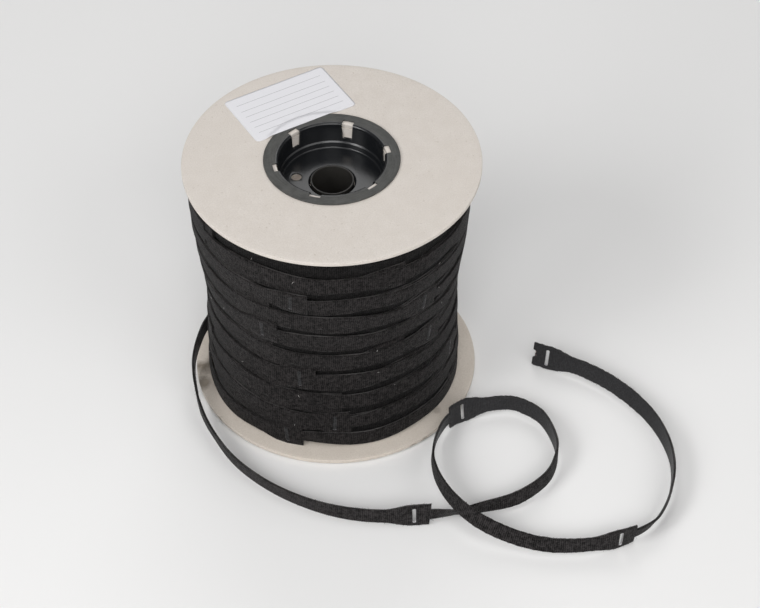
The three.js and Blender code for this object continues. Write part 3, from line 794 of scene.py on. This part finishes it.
def frames(centre, lean):
    # Directions across the band and out of its loop face at each section.
    tangent = np.gradient(centre, axis=0)
    tangent /= np.linalg.norm(tangent, axis=1, keepdims=True)
    side = np.stack([tangent[:, 1], -tangent[:, 0], np.zeros(len(tangent))], axis=1)
    side /= np.linalg.norm(side, axis=1, keepdims=True)
    rise = np.cross(side, tangent)
    lean = lean[:, None]
    return rise * np.cos(lean) + side * np.sin(lean), side * np.cos(lean) - rise * np.sin(lean)


SLOT_SHARE = SLOT_LENGTH / HEAD_WIDTH
TEAR_SHARES = [(TEAR_RISE + height * TEAR_HEIGHT) / (HEAD_WIDTH / 2) for height, _ in TEAR_OUTLINE]
FINE_SHARES = (-1, -EDGE_LINE_SHARE, -SLOT_SHARE, *TEAR_SHARES, SLOT_SHARE, EDGE_LINE_SHARE, 1)
PLAIN_SHARES = (-1, -EDGE_LINE_SHARE, -SLOT_SHARE, SLOT_SHARE, EDGE_LINE_SHARE, 1)
LOOPS, HOOKS, EDGE, SLOT, BED = range(5)
# The free band's loop face is painted lighter than the winding's, as painted light, and its slot walls pale,
# as painted light.
FREE_MATERIALS = [LIT_FREE_LOOPS, HOOK_FACE, CUT_EDGE, LIT_SLOT_CUT, LIT_SLOT_BED]
# On the winding the slot walls and beds are painted light.
WOUND_MATERIALS = [LOOP_FACE, HOOK_FACE, CUT_EDGE, LIT_SLOT_EDGE, LIT_SLOT_BED]
# The deep layers take darker copies of the loop face, as painted shade.
SHADED_DEEP_MATERIALS = [SHADED_DEEP_FACE, HOOK_FACE, SHADED_DEEP_FACE, LIT_SLOT_EDGE, LIT_SLOT_BED]


def band_faces(in_slot, wide, left, right, bed):
    # A section is a ring of points: the outer ones from edge to edge, then the inner ones back.
    ring = 2 * wide
    count = len(in_slot)
    faces, kinds = [], []

    def add(quad, turned, kind):
        faces.append(quad[::-1] if turned else quad)
        kinds.append(kind)

    def under(column):
        return ring - 1 - column

    for i in range(count - 1):
        a, b = i * ring, (i + 1) * ring
        for k in range(ring):
            n = (k + 1) % ring
            column = k if k < wide else under(n)
            on_edge = k in (wide - 1, ring - 1)
            if on_edge or not (in_slot[i] and left <= column < right):
                kind = LOOPS if k < wide else HOOKS
                add((a + k, b + k, b + n, a + n), False, EDGE if on_edge else kind)
        if not in_slot[i]:
            continue
        for column in (left, right):
            quad = (a + column, b + column, b + under(column), a + under(column))
            add(quad, column == right, SLOT)
        for section, beyond in ((i, i - 1), (i + 1, i + 1)):
            if in_slot[beyond]:
                continue
            s = section * ring
            for column in range(left, right):
                quad = (s + column, s + under(column), s + under(column + 1), s + column + 1)
                add(quad, section != i, SLOT)
    if bed:
        for i in np.flatnonzero(in_slot):
            for column in range(left, right):
                a = count * ring + i * wide + column
                add((a, a + wide, a + wide + 1, a + 1), False, BED)
    for s, forward in ((0, False), ((count - 1) * ring, True)):
        for column in range(wide - 1):
            quad = (s + column, s + column + 1, s + under(column + 1), s + under(column))
            add(quad, forward, EDGE)
    return faces, kinds


def torn_shift(distance, spread):
    # How far each point near the torn end is drawn back along the band.
    reach = np.clip(1 - (distance[-1] - distance) / (2 * TEAR_DEPTH), 0, 1)[:, None]
    heights, depths = zip(*TEAR_OUTLINE)
    place = (spread - TEAR_RISE) / TEAR_HEIGHT
    return -TEAR_DEPTH * reach * np.interp(place, heights, depths, left=0, right=0)


def band_points(centre, lean, distance, along, at_end, shares, free):
    # The fray of the edges is drawn afresh for each band, seeded with its number of sections.
    shares = np.array(shares)
    wide, count = len(shares), len(centre)
    across, out = frames(centre, lean)
    left, right = [int(np.argmin(np.abs(shares - s))) for s in (-SLOT_SHARE, SLOT_SHARE)]
    spread = np.tile(shares, (count, 1)) * half_width(along)[:, None]
    dice = np.random.default_rng(count)
    spread[:, 0] -= EDGE_FRAY * dice.uniform(-1, 1, count)
    spread[:, -1] += EDGE_FRAY * dice.uniform(-1, 1, count)
    spread[:, left] += SLOT_CORNER * at_end
    spread[:, right] -= SLOT_CORNER * at_end
    shift = torn_shift(distance, spread) if free else np.zeros((count, wide))
    thick = BAND_THICKNESS / 2 * np.where(np.abs(shares) == 1, EDGE_SHARE, 1.0)
    thick = out[:, None, :] * thick[None, :, None]
    flat = centre[:, None, :] + across[:, None, :] * spread[..., None]
    flat = flat + np.cross(across, out)[:, None, :] * shift[..., None]
    points = np.concatenate([flat + thick, (flat - thick)[:, ::-1]], axis=1).reshape(-1, 3)
    run = np.tile(distance[:, None], (1, 2 * wide))
    place = np.stack([run, np.concatenate([spread, spread[:, ::-1]], axis=1)], axis=-1).reshape(-1, 2)
    if not free:
        # Frayed fibres close the slots a little below the face; their colour, lighter than the band, is
        # painted light.
        bed = flat + thick * (1 - 2 * SLOT_FILL)
        points = np.concatenate([points, bed.reshape(-1, 3)])
        place = np.concatenate([place, np.stack([run[:, :wide], spread], axis=-1).reshape(-1, 2)])
    return points, place, (wide, left, right)


def fibre_mesh(name, paths, radius, material):
    # Each fibre is a thin closed tube that thins out at both ends.
    points, faces = [], []
    for path in paths:
        path = np.array(path)
        count = len(path)
        tangent = np.gradient(path, axis=0)
        tangent /= np.linalg.norm(tangent, axis=1, keepdims=True)
        side = np.cross(tangent, FIBRE_ASIDE)
        side /= np.linalg.norm(side, axis=1, keepdims=True)
        rise = np.cross(tangent, side)
        start = len(points)
        thick = radius * np.sqrt(np.sin(np.pi * (np.arange(count) + 1) / (count + 1)))
        for i, centre in enumerate(path):
            for k in range(FIBRE_SIDES):
                a = 2 * math.pi * k / FIBRE_SIDES
                points.append(centre + thick[i] * (side[i] * math.cos(a) + rise[i] * math.sin(a)))
        for i in range(count - 1):
            for k in range(FIBRE_SIDES):
                a, n = start + i * FIBRE_SIDES, (k + 1) % FIBRE_SIDES
                faces.append((a + k, a + n, a + FIBRE_SIDES + n, a + FIBRE_SIDES + k))
    return make_piece(name, points, faces, material)


def curled(root, reach, curl, count):
    return [root + reach * share + curl * share ** 2 for share in np.linspace(0, 1, count)]


def fringe(name, centre, lean, distance, along, material, per_metre, seed):
    # Short hairs that stand out from both edges of a band.
    dice = np.random.default_rng(seed)
    across, out = frames(centre, lean)
    tangent = np.cross(across, out)
    half = half_width(along)
    paths = []
    for _ in range(round(per_metre * (distance[-1] - distance[0]))):
        i = dice.integers(1, len(centre) - 1)
        edge = dice.choice((-1, 1))
        level = dice.uniform(-HAIR_LEVEL, HAIR_LEVEL) * BAND_THICKNESS
        root = centre[i] + across[i] * edge * (half[i] - HAIR_ROOT) + out[i] * level
        sweep, rise = dice.uniform(-HAIR_SWEEP, HAIR_SWEEP, 2)
        heading = across[i] * edge + tangent[i] * sweep + out[i] * rise
        heading /= np.linalg.norm(heading)
        length = HAIR_ROOT + dice.uniform(*HAIR_LENGTHS)
        curl = (tangent[i] * dice.uniform(-1, 1) + out[i] * dice.uniform(-1, 1)) * length * HAIR_CURL
        path = np.array(curled(root, heading * length, curl, HAIR_POINTS))
        path[:, 2] = np.maximum(path[:, 2], HAIR_RADIUS)
        paths.append(path)
    return settle(fibre_mesh(name, paths, HAIR_RADIUS, material), "tie_band")


def threads(name, centre, lean, distance, material, middle, count, lengths, spread, seed):
    # Threads that hang from one place of a band, spread over its width, and lie along it.
    dice = np.random.default_rng(seed)
    i = int(np.argmin(np.abs(distance - middle)))
    across, out = [axis[i] for axis in frames(centre, lean)]
    paths = []
    for _ in range(count):
        root = centre[i] + across * dice.uniform(-spread, spread)
        root = root + out * dice.uniform(-THREAD_LEVEL, THREAD_LEVEL) * BAND_THICKNESS
        heading = np.cross(across, out) + across * dice.uniform(-1, 1)
        heading = heading + out * dice.uniform(-1, 1) * THREAD_RISE
        heading *= dice.uniform(*lengths) / np.linalg.norm(heading)
        curl = across * dice.uniform(-1, 1) + out * dice.uniform(-1, 1)
        curl = curl * np.linalg.norm(heading) * THREAD_CURL
        paths.append(curled(root, heading, curl, FIBRE_POINTS))
    paths = np.array(paths)
    paths[..., 2] += max(THREAD_RADIUS - np.min(paths[..., 2]), 0)
    return settle(fibre_mesh(name, paths, THREAD_RADIUS, material), "tie_band")


# Winding: its middle lies a little off the axis, towards the place where the band leaves it

TAKE_OFF = radians(TAKE_OFF_BEARING)
SHIFT = (WINDING_SHIFT * math.cos(TAKE_OFF), WINDING_SHIFT * math.sin(TAKE_OFF), 0)


def bulge(height):
    foot = FOOT_BULGE * (1 - smooth((height - WINDING_FLOOR) / (FOOT_BULGE_END - WINDING_FLOOR)))
    return foot + WINDING_BULGE * smooth((height - BULGE_START) / (BULGE_END - BULGE_START))


def wander(turns, seed):
    turn = 2 * np.pi * turns
    return sum(np.sin(beat * (turn + seed)) for beat in WANDER_BEATS) / len(WANDER_BEATS)


def outer_layer(turns):
    # Turns are counted from where the traverse reverses; negative turns come before it.
    pitch = (WINDING_TOP - HEAD_WIDTH / 2 - REVERSAL_HEIGHT) / (LAYER_TURNS - REVERSAL_TURNS)
    height = REVERSAL_HEIGHT + pitch * (np.hypot(turns, REVERSAL_TURNS) - REVERSAL_TURNS)
    # The last stretch dips to where the band leaves the reel.
    height = height - TAKE_OFF_DROP * smooth(1 - (LAST_TURNS - turns) / DROP_TURNS)
    radius = WINDING_RADIUS - BAND_THICKNESS / 2 + bulge(height) + LAYER_STEP * smooth(turns / CLIMB_TURNS)
    return radius, height


def helix(turns, radius, height, bearing):
    return polar(radius, radians(bearing) + 2 * np.pi * turns, height) + SHIFT


def slope_lean(height):
    half = BODY_WIDTH / 2
    return np.arctan((bulge(height + half) - bulge(height - half)) / BODY_WIDTH)


def wound_band():
    turns = np.linspace(-LAYER_TURNS, LAST_TURNS, round((LAYER_TURNS + LAST_TURNS) * TURN_SAMPLES))
    radius, height = outer_layer(turns)
    # The wander fades out where the band leaves the reel.
    calm = smooth((LAST_TURNS - turns) / CLIMB_TURNS)
    height = height + WANDER_HEIGHT * wander(turns, OUTER_SEED) * calm
    radius = radius + WANDER_RADIUS * wander(turns, OUTER_SEED + 1) * calm
    path = helix(turns, radius, height, TAKE_OFF_BEARING - 360 * LAST_TURNS)
    lean = (slope_lean(height) + radians(WANDER_LEAN) * wander(turns, OUTER_SEED + 2)) * calm
    step = path[-1] - path[-2]
    run = step / np.linalg.norm(step) * STRAIGHT_RUN
    return np.array([*path, path[-1] + run]), np.array([*lean, 0.0])


def free_route(start, tangent):
    # A smooth curve through the route's points, which goes on from where the band leaves the reel.
    points = np.array([start, start + tangent * BODY_WIDTH] + [p[:3] for p in BAND_ROUTE])
    lean = radians(np.array([0, 0] + [p[3] for p in BAND_ROUTE], dtype=float))
    ends = (2 * points[0] - points[1], 2 * points[-1] - points[-2])
    whole = np.concatenate([[ends[0]], points, [ends[1]]])
    made, leans = [], []
    for i in range(len(points) - 1):
        p0, p1, p2, p3 = whole[i:i + 4]
        t0, t1, t2 = [math.sqrt(np.linalg.norm(b - a)) for a, b in ((p0, p1), (p1, p2), (p2, p3))]
        m1 = ((p1 - p0) / t0 - (p2 - p0) / (t0 + t1) + (p2 - p1) / t1) * t1
        m2 = ((p2 - p1) / t1 - (p3 - p1) / (t1 + t2) + (p3 - p2) / t2) * t1
        t = np.linspace(0, 1, SEGMENT_SAMPLES, endpoint=i == len(points) - 2)[:, None]
        squared = (3 * (p2 - p1) - 2 * m1 - m2) * t ** 2
        made.append(p1 + m1 * t + squared + (2 * (p1 - p2) + m1 + m2) * t ** 3)
        leans.append(lean[i] + (lean[i + 1] - lean[i]) * t[:, 0])
    return np.concatenate(made), np.concatenate(leans)


def make_band(name, materials, path, lean, step, phase, tie_length, shares, slots, free=False):
    distance, along, in_slot, at_end = band_sections(path_length(path), step, phase, tie_length, slots)
    run = run_along(path)
    centre = np.stack([np.interp(distance, run, path[:, k]) for k in range(3)], axis=1)
    lean = np.interp(distance, run, lean)
    points, place, wide = band_points(centre, lean, distance, along, at_end, shares, free)
    faces, kinds = band_faces(in_slot, *wide, not free)
    piece = make_piece(name, points, faces, *materials, kinds=kinds, place=place)
    return piece, (centre, lean, distance, along)


wound_path, wound_lean = wound_band()
take_off = wound_path[-1]
leaving = take_off - wound_path[-2]
free_path, free_lean = free_route(take_off, leaving / np.linalg.norm(leaving))
free_length = path_length(free_path)
first_head = free_length - (FREE_TIES - 1) * TIE_LENGTH

free_band, free_rings = make_band(
    "free_band", FREE_MATERIALS, free_path, free_lean, FREE_STEP, TIE_LENGTH - first_head, TIE_LENGTH,
    FINE_SHARES, (0, math.inf), free=True)
settle(free_band, "tie_band", *["tail_tie_%d" % (i + 1) for i in range(FREE_TIES)])
extras = [
    fringe("free_band_fringe", *free_rings, LOOP_FACE, FREE_HAIRS, FREE_HAIR_SEED),
    threads("torn_end_threads", *free_rings[:3], TORN_FIBRE, free_length - TEAR_DEPTH, TEAR_THREADS,
            TEAR_THREAD_LENGTHS, TEAR_SPREAD, TEAR_SEED),
]
for k in range(FREE_TIES - 1):
    name, place = "join_threads_%d" % (k + 1), first_head + k * TIE_LENGTH
    extras.append(threads(name, *free_rings[:3], LOOP_FACE, place, JOIN_THREADS, JOIN_THREAD_LENGTHS,
                          TIP_WIDTH / 2, JOIN_SEED + k))

wound_head = first_head * WOUND_TIE_LENGTH / TIE_LENGTH - WOUND_SLIP
wound_phase = (-wound_head - path_length(wound_path)) % WOUND_TIE_LENGTH
outer_band, outer_rings = make_band(
    "wound_outer_band", WOUND_MATERIALS, wound_path, wound_lean, WOUND_STEP, wound_phase, WOUND_TIE_LENGTH,
    FINE_SHARES, OUTER_SLOTS)
settle(outer_band, "tie_band", "winding_outer_layer")
fringe("wound_band_fringe", *outer_rings, CUT_EDGE, WOUND_HAIRS, WOUND_HAIR_SEED)


# Flanges

def flange(name, node_name, floor, material, seed):
    top = floor + FLANGE_THICKNESS
    rings = np.linspace(FLANGE_BORE + FLANGE_EDGE, FLANGE_RADIUS - FLANGE_EDGE, FLANGE_RINGS)
    corners = rounded_ring(FLANGE_BORE, FLANGE_RADIUS, floor, top, FLANGE_EDGE)
    profile = [(r, floor) for r in rings] + corners[0][1:] + corners[1]
    profile += [(r, top) for r in rings[::-1][1:]] + corners[2][1:] + corners[3][:-1]

    def warp(points):
        turn = np.arctan2(points[..., 1], points[..., 0])
        reach = np.hypot(points[..., 0], points[..., 1]) / FLANGE_RADIUS
        first, second = [np.sin(waves * turn + k * seed) for k, waves in enumerate(WARP_WAVES, 1)]
        return FLANGE_WARP * reach * (first + WARP_SHARE * second)

    settle(revolve(name, profile, FLANGE_SIDES, material, warp), "board", node_name)


upper_floor = REEL_HEIGHT - FLANGE_FLOOR - FLANGE_THICKNESS
flange("bottom_flange_board", "bottom_flange", FLANGE_FLOOR, LOWER_BOARD, WARP_SEEDS[0])
flange("top_flange_board", "top_flange", upper_floor, BOARD, WARP_SEEDS[1])


# Hubs: one pressed sheet, drawn as its shown face and then given its thickness

HUB_DEPTH = FOOT_CORNER[1] + FOOT_CORNER_RADIUS


def hub_bend(centre, radius, start, end):
    return [(r, -z) for r, z in arc((centre[0], -centre[1]), radius, start, end, BEND_STEPS)]


def hub_profile():
    wall = RING_BEND[0] - RING_BEND_RADIUS
    profile = [(r, 0.0) for r in (RING_RADIUS, (RING_RADIUS + NOTCH_RADIUS) / 2, NOTCH_RADIUS)]
    notch = len(profile) - 1
    profile += hub_bend(RING_BEND, RING_BEND_RADIUS, 90, 180)
    profile += [(wall, depth) for depth in np.linspace(RING_BEND[1], WINDOW_DEPTH, WALL_ROWS)[1:]]
    sill = len(profile) - 1
    profile += [(wall, STEP_DEPTH), (STEP_RADIUS, STEP_DEPTH + STEP_HEIGHT)]
    profile += hub_bend(FOOT_CORNER, FOOT_CORNER_RADIUS, 0, -90)
    reach = (DRIVE_HOLE_PLACE + DRIVE_HOLE_PATCH, DRIVE_HOLE_PLACE - DRIVE_HOLE_PATCH)
    profile += [(r, HUB_DEPTH) for r in np.linspace(*reach, FLOOR_ROWS)]
    profile += hub_bend(LIP_CENTRE, LIP_RADIUS, 90, 180)
    profile += [(LIP_CENTRE[0] - LIP_RADIUS, COLLAR_END)]
    return np.array(profile), notch, sill


def hub_lines():
    # Angles of the mesh lines: the window's edges and the claw's, then even steps to the next window.
    radius = RING_BEND[0] - RING_BEND_RADIUS
    edge = math.degrees(math.asin(WINDOW_FOOT_WIDTH / 2 / radius))
    claw = math.degrees(math.asin(CLAW_WIDTH / 2 / radius))
    pitch = 360 / WINDOW_COUNT
    sector = [-edge, -claw, -claw / 3, claw / 3, claw]
    sector += list(np.linspace(edge, pitch - edge, SECTOR_LINES)[:-1])
    lines = [WINDOW_BEARING + k * pitch + a for k in range(WINDOW_COUNT) for a in sector]
    return np.array(lines), len(sector)


def hub_surface():
    # The notch and the sill are the profile's points where a window starts and ends.
    profile, notch, sill = hub_profile()
    lines, per_sector = hub_lines()
    count, rows = len(lines), len(profile)
    turn = np.tile(radians(lines)[:, None], (1, rows))
    # Each window is wider at the top, so its two edge lines spread upwards.
    share = np.clip(1 - profile[:, 1] / WINDOW_DEPTH, 0, 1)
    half = (WINDOW_FOOT_WIDTH + (WINDOW_TOP_WIDTH - WINDOW_FOOT_WIDTH) * share) / 2
    half_turn = np.arcsin(half / profile[:, 0])
    spread = slice(notch, sill + 1)
    for k in range(WINDOW_COUNT):
        middle = radians(WINDOW_BEARING + k * 360 / WINDOW_COUNT)
        turn[k * per_sector, spread] = middle - half_turn[spread]
        turn[k * per_sector + WINDOW_CELLS, spread] = middle + half_turn[spread]
    points, place = turned(profile * (1, -1), turn)
    faces = []
    for i in range(count):
        j = (i + 1) % count
        in_window = i % per_sector < WINDOW_CELLS
        for k in range(rows - 1):
            if not (in_window and notch <= k < sill):
                faces.append((i * rows + k, j * rows + k, j * rows + k + 1, i * rows + k + 1))
    # Claws: the sheet goes on over the sill between the claw's lines and folds outwards.
    points, place = points.reshape(-1, 3).tolist(), place.reshape(-1, 2).tolist()
    for k in range(WINDOW_COUNT):
        row = [(k * per_sector + c) * rows + sill for c in range(1, WINDOW_CELLS)]
        for r, d in CLAW_STEPS:
            fresh = []
            for corner in row:
                across = math.atan2(points[corner][1], points[corner][0])
                fresh.append(len(points))
                points.append((r * math.cos(across), r * math.sin(across), -d))
                place.append((0.0, WINDOW_DEPTH + RING_RADIUS))
            faces += [(row[c], fresh[c], fresh[c + 1], row[c + 1]) for c in range(len(row) - 1)]
            row = fresh
    return points, place, faces, lines, profile


def cut_drive_hole(points, place, faces, lines, profile):
    # A patch of the floor's cells gives way to a ring of cells round the hole.
    bearing = radians(DRIVE_HOLE_BEARING)
    centre = np.array([math.cos(bearing), math.sin(bearing)]) * DRIVE_HOLE_PLACE
    reach = math.degrees(DRIVE_HOLE_PATCH / DRIVE_HOLE_PLACE)
    rows = len(profile)
    near = np.abs(profile[:, 0] - DRIVE_HOLE_PLACE) < DRIVE_HOLE_PATCH + BOUNDARY
    in_rows = np.flatnonzero(near & np.isclose(profile[:, 1], HUB_DEPTH))
    turns = (lines - DRIVE_HOLE_BEARING + 180) % 360 - 180
    in_lines = sorted((i for i in range(len(lines)) if abs(turns[i]) < reach), key=lambda i: turns[i])
    patch = {i * rows + k for i in in_lines[:-1] for k in in_rows[:-1]}
    kept = [face for face in faces if face[0] not in patch]
    border = [(i, in_rows[0]) for i in in_lines]
    border += [(in_lines[-1], k) for k in in_rows[1:]]
    border += [(i, in_rows[-1]) for i in in_lines[::-1][1:]]
    border += [(in_lines[0], k) for k in in_rows[::-1][1:-1]]
    loop = [i * rows + k for i, k in border]
    ring = []
    for corner in loop:
        away = np.array(points[corner][:2]) - centre
        away *= DRIVE_HOLE_RADIUS / np.linalg.norm(away)
        ring.append(len(points))
        points.append((centre[0] + away[0], centre[1] + away[1], -HUB_DEPTH))
        place.append(place[corner])
    for c in range(len(loop)):
        n = (c + 1) % len(loop)
        kept.append((loop[c], loop[n], ring[n], ring[c]))
    return kept


def hub(name, node_name, upper):
    points, place, faces, lines, profile = hub_surface()
    faces = cut_drive_hole(points, place, faces, lines, profile)
    points = np.array(points)
    if upper:
        points[:, 2] += REEL_HEIGHT
    else:
        points[:, 1:] *= -1
    piece = make_piece(name, points, faces, STEEL, place=place)
    add_modifier(piece, "SOLIDIFY", thickness=SHEET, offset=-1, use_even_offset=True)
    add_modifier(piece, "BEVEL", width=HUB_BEVEL, segments=BEVEL_SEGMENTS, limit_method="ANGLE",
                 angle_limit=radians(BEVEL_ANGLE))
    settle(piece, "steel", node_name)


hub("top_hub_pressing", "top_hub", True)
hub("bottom_hub_pressing", "bottom_hub", False)


# Arbor tube, and the core tube's material

bore = ARBOR_RADIUS - ARBOR_WALL
corners = rounded_ring(bore, ARBOR_RADIUS, ARBOR_END, REEL_HEIGHT - ARBOR_END, ARBOR_EDGE)
arbor = revolve("arbor_tube_smooth", sum(corners, []), ARBOR_SIDES, TUBE_STEEL)
settle(arbor, "steel", "arbor_tube")
core_materials = frame["nodes"]["core_tube"].data.materials
core_materials.clear()
core_materials.append(BOARD)


# Label: a thin sheet that steps up on to the hub ring, with a slight ripple before the step

def label():
    half_along, half_across = LABEL_LENGTH / 2, LABEL_WIDTH / 2
    turn = radians(LABEL_TURN)
    columns, rows = round(LABEL_LENGTH / LABEL_CELL), round(LABEL_WIDTH / LABEL_CELL)
    along = np.linspace(-half_along, half_along, columns + 1)
    across = np.linspace(-half_across, half_across, rows + 1)
    a, c = np.meshgrid(along, across)
    over_a = np.maximum(np.abs(a) - (half_along - LABEL_CORNER), 0)
    over_c = np.maximum(np.abs(c) - (half_across - LABEL_CORNER), 0)
    reach = np.maximum(np.hypot(over_a, over_c), LABEL_CORNER)
    pull = LABEL_CORNER / reach
    a = a - np.sign(a) * over_a * (1 - pull)
    c = c - np.sign(c) * over_c * (1 - pull)
    x = LABEL_PLACE[0] + a * np.cos(turn) - c * np.sin(turn)
    y = LABEL_PLACE[1] + a * np.sin(turn) + c * np.cos(turn)
    distance = np.hypot(x, y) - RING_RADIUS - LABEL_STANDOFF
    board_top = REEL_HEIGHT - FLANGE_FLOOR
    rise = FLANGE_FLOOR * smooth(1 - distance / LABEL_RAMP)
    crest = np.exp(-((distance - LABEL_RAMP) / LABEL_RAMP) ** 2)
    ripple = LABEL_RIPPLE * crest * (1 + np.sin(np.arctan2(y, x) * LABEL_RIPPLES)) / 2
    z = board_top + LABEL_GAP + rise + ripple
    points = np.stack([x, y, z], axis=-1)
    place = np.stack([a + half_along, c + half_across], axis=-1)
    wide = columns + 1
    corners = [r * wide + i for r in range(rows) for i in range(columns)]
    faces = [(corner, corner + 1, corner + wide + 1, corner + wide) for corner in corners]
    piece = make_piece("label_sticker", points, faces, PAPER, place=place)
    add_modifier(piece, "SOLIDIFY", thickness=LABEL_SHEET, offset=1)
    settle(piece, "label_paper", "label")


label()


# Inner layers of the winding, seen between the bodies of the outer ties

def swell(height):
    # The lowest turns have nothing over them, so there the layer lies at the winding's full radius.
    return BAND_THICKNESS * smooth((SWELL_HEIGHT - height) / SWELL_RUN)


def rest_height(along):
    # A turn that lies on the flange stands on its lower edge, higher near the wide heads.
    near_head = smooth(1 - np.minimum(along, TIE_LENGTH - along) / REST_RUN)
    return WINDING_FLOOR + (BODY_WIDTH + (HEAD_WIDTH - BODY_WIDTH) * near_head) / 2


def under_layer(down, bearing, first, last, dwell, turns, phase, rise, seed):
    # A layer is a helix below the outer layer, after some turns that stay at the first height.
    turn = np.linspace(0, turns, round(turns * TURN_SAMPLES))
    past = (np.hypot(turn - dwell, DWELL_BLEND) + turn - dwell) / 2
    height = first + (last - first) * past / past[-1]
    height = height + WANDER_HEIGHT * wander(turn, seed)
    radius = WINDING_RADIUS - BAND_THICKNESS / 2 - down * BAND_THICKNESS + bulge(height) + swell(height)
    radius = radius + WANDER_RADIUS * wander(turn, seed + 1)
    covered = smooth((height - SWELL_HEIGHT) / SWELL_RUN)
    radius = radius + rise * smooth(RISE_SHARE + wander(turn, seed + 3)) * covered
    lean = slope_lean(height) + radians(WANDER_LEAN) * wander(turn, seed + 2)
    run = 2 * np.pi * WINDING_RADIUS * turn
    along = ((run + phase) * TIE_LENGTH / WOUND_TIE_LENGTH) % TIE_LENGTH
    height = np.maximum(height, rest_height(along))
    return helix(turn, radius, height, bearing), lean


def sleeve():
    # A tube below the layers, in the darker copy of the loop face as painted shade, so that no gap looks
    # through to the core.
    heights = np.linspace(WINDING_FLOOR, WINDING_TOP, SLEEVE_RINGS)
    outer = [(WINDING_RADIUS - SLEEVE_DROP + bulge(z), z) for z in heights]
    inner = [(WINDING_RADIUS - SLEEVE_DROP - SLEEVE_WALL, z) for z in heights[::-1]]
    made = revolve("winding_sleeve", outer + inner, SLEEVE_SIDES, SHADED_DEEP_FACE)
    made.data.transform(Matrix.Translation(SHIFT))
    return made


layers = [sleeve()]
for name, down, bearing, first, last, dwell, turns, phase, rise, seed in UNDER_LAYERS:
    path, lean = under_layer(down, bearing, first, last, dwell, turns, phase, rise, seed)
    # The third layer is painted darker, as painted shade.
    materials, slots = (SHADED_DEEP_MATERIALS, (0, 0)) if down > 1 else (WOUND_MATERIALS, UNDER_SLOTS)
    layer = make_band(name, materials, path, lean, UNDER_STEP, phase, WOUND_TIE_LENGTH, PLAIN_SHARES, slots)
    layers.append(layer[0])
for layer in layers:
    settle(layer, "tie_band", "winding_core")


# Lint: short pale fibres that cling to the band

def winding_spot(bearing, height, out):
    return polar(WINDING_RADIUS + bulge(height) + out, radians(bearing), height) + SHIFT


def lint():
    dice = np.random.default_rng(LINT_SEED)
    spots = list(LINT_SPOTS)
    for _ in range(LINT_STRAYS):
        limits = (LINT_BEARINGS, (WINDING_FLOOR, WINDING_TOP), LINT_LENGTHS)
        spots.append([dice.uniform(*limit) for limit in limits])
    paths = []
    for bearing, height, length in spots:
        heading = dice.uniform(0, math.pi)
        bend = dice.uniform(-LINT_BEND, LINT_BEND)
        path, run = [], (0.0, 0.0)
        for i in range(FIBRE_POINTS):
            share = i / (FIBRE_POINTS - 1)
            a, z = run
            lift = LINT_LIFT * math.sin(math.pi * share)
            there = bearing + math.degrees(a / WINDING_RADIUS)
            path.append(winding_spot(there, height + z, LINT_REST + lift))
            turn = heading + bend * share
            run = (a + length / FIBRE_POINTS * math.cos(turn), z + length / FIBRE_POINTS * math.sin(turn))
        paths.append(path)
    settle(fibre_mesh("lint_fibres", paths, LINT_RADIUS, LINT), "label_paper")


lint()


# Floor, soft light and world

def floor():
    half = FLOOR_SIZE / 2
    corners = [(x * half, y * half, -FLOOR_DROP) for x, y in ((-1, -1), (1, -1), (1, 1), (-1, 1))]
    material = new_material("stage_floor", FLOOR_COLOR, FLOOR_ROUGHNESS, Specular_IOR_Level=FLOOR_GLOSS)
    make_piece("stage_floor", corners, [(0, 1, 2, 3)], material)


def lamp(name, kind, place, energy):
    made = add_object(name, bpy.data.lights.new(name, kind))
    made.data.energy = energy
    made.location = place
    return made


def soft_light(name, place, size, level):
    made = lamp(name, "AREA", place, level * math.pi ** 2 * math.dist(place, LIGHT_TARGET) ** 2)
    made.data.shape = "DISK"
    made.data.size = size
    away = Vector(place) - Vector(LIGHT_TARGET)
    made.rotation_euler = away.to_track_quat("Z", "Y").to_euler()


def core_light(name, place, size, energy):
    # A small lamp in the hollow core stands for the light that comes in at the bottom.
    lamp(name, "POINT", place, energy).data.shadow_soft_size = size


def world():
    made = bpy.data.worlds.new("studio")
    made.use_nodes = True
    background = made.node_tree.nodes["Background"]
    background.inputs["Color"].default_value = (1, 1, 1, 1)
    background.inputs["Strength"].default_value = WORLD_LEVEL
    bpy.context.scene.world = made


floor()
world()
core_light(*CORE_LIGHT)
for name, place, size, level in SOFT_LIGHTS:
    soft_light(name, place, size, level)

bpy.context.view_layer.update()
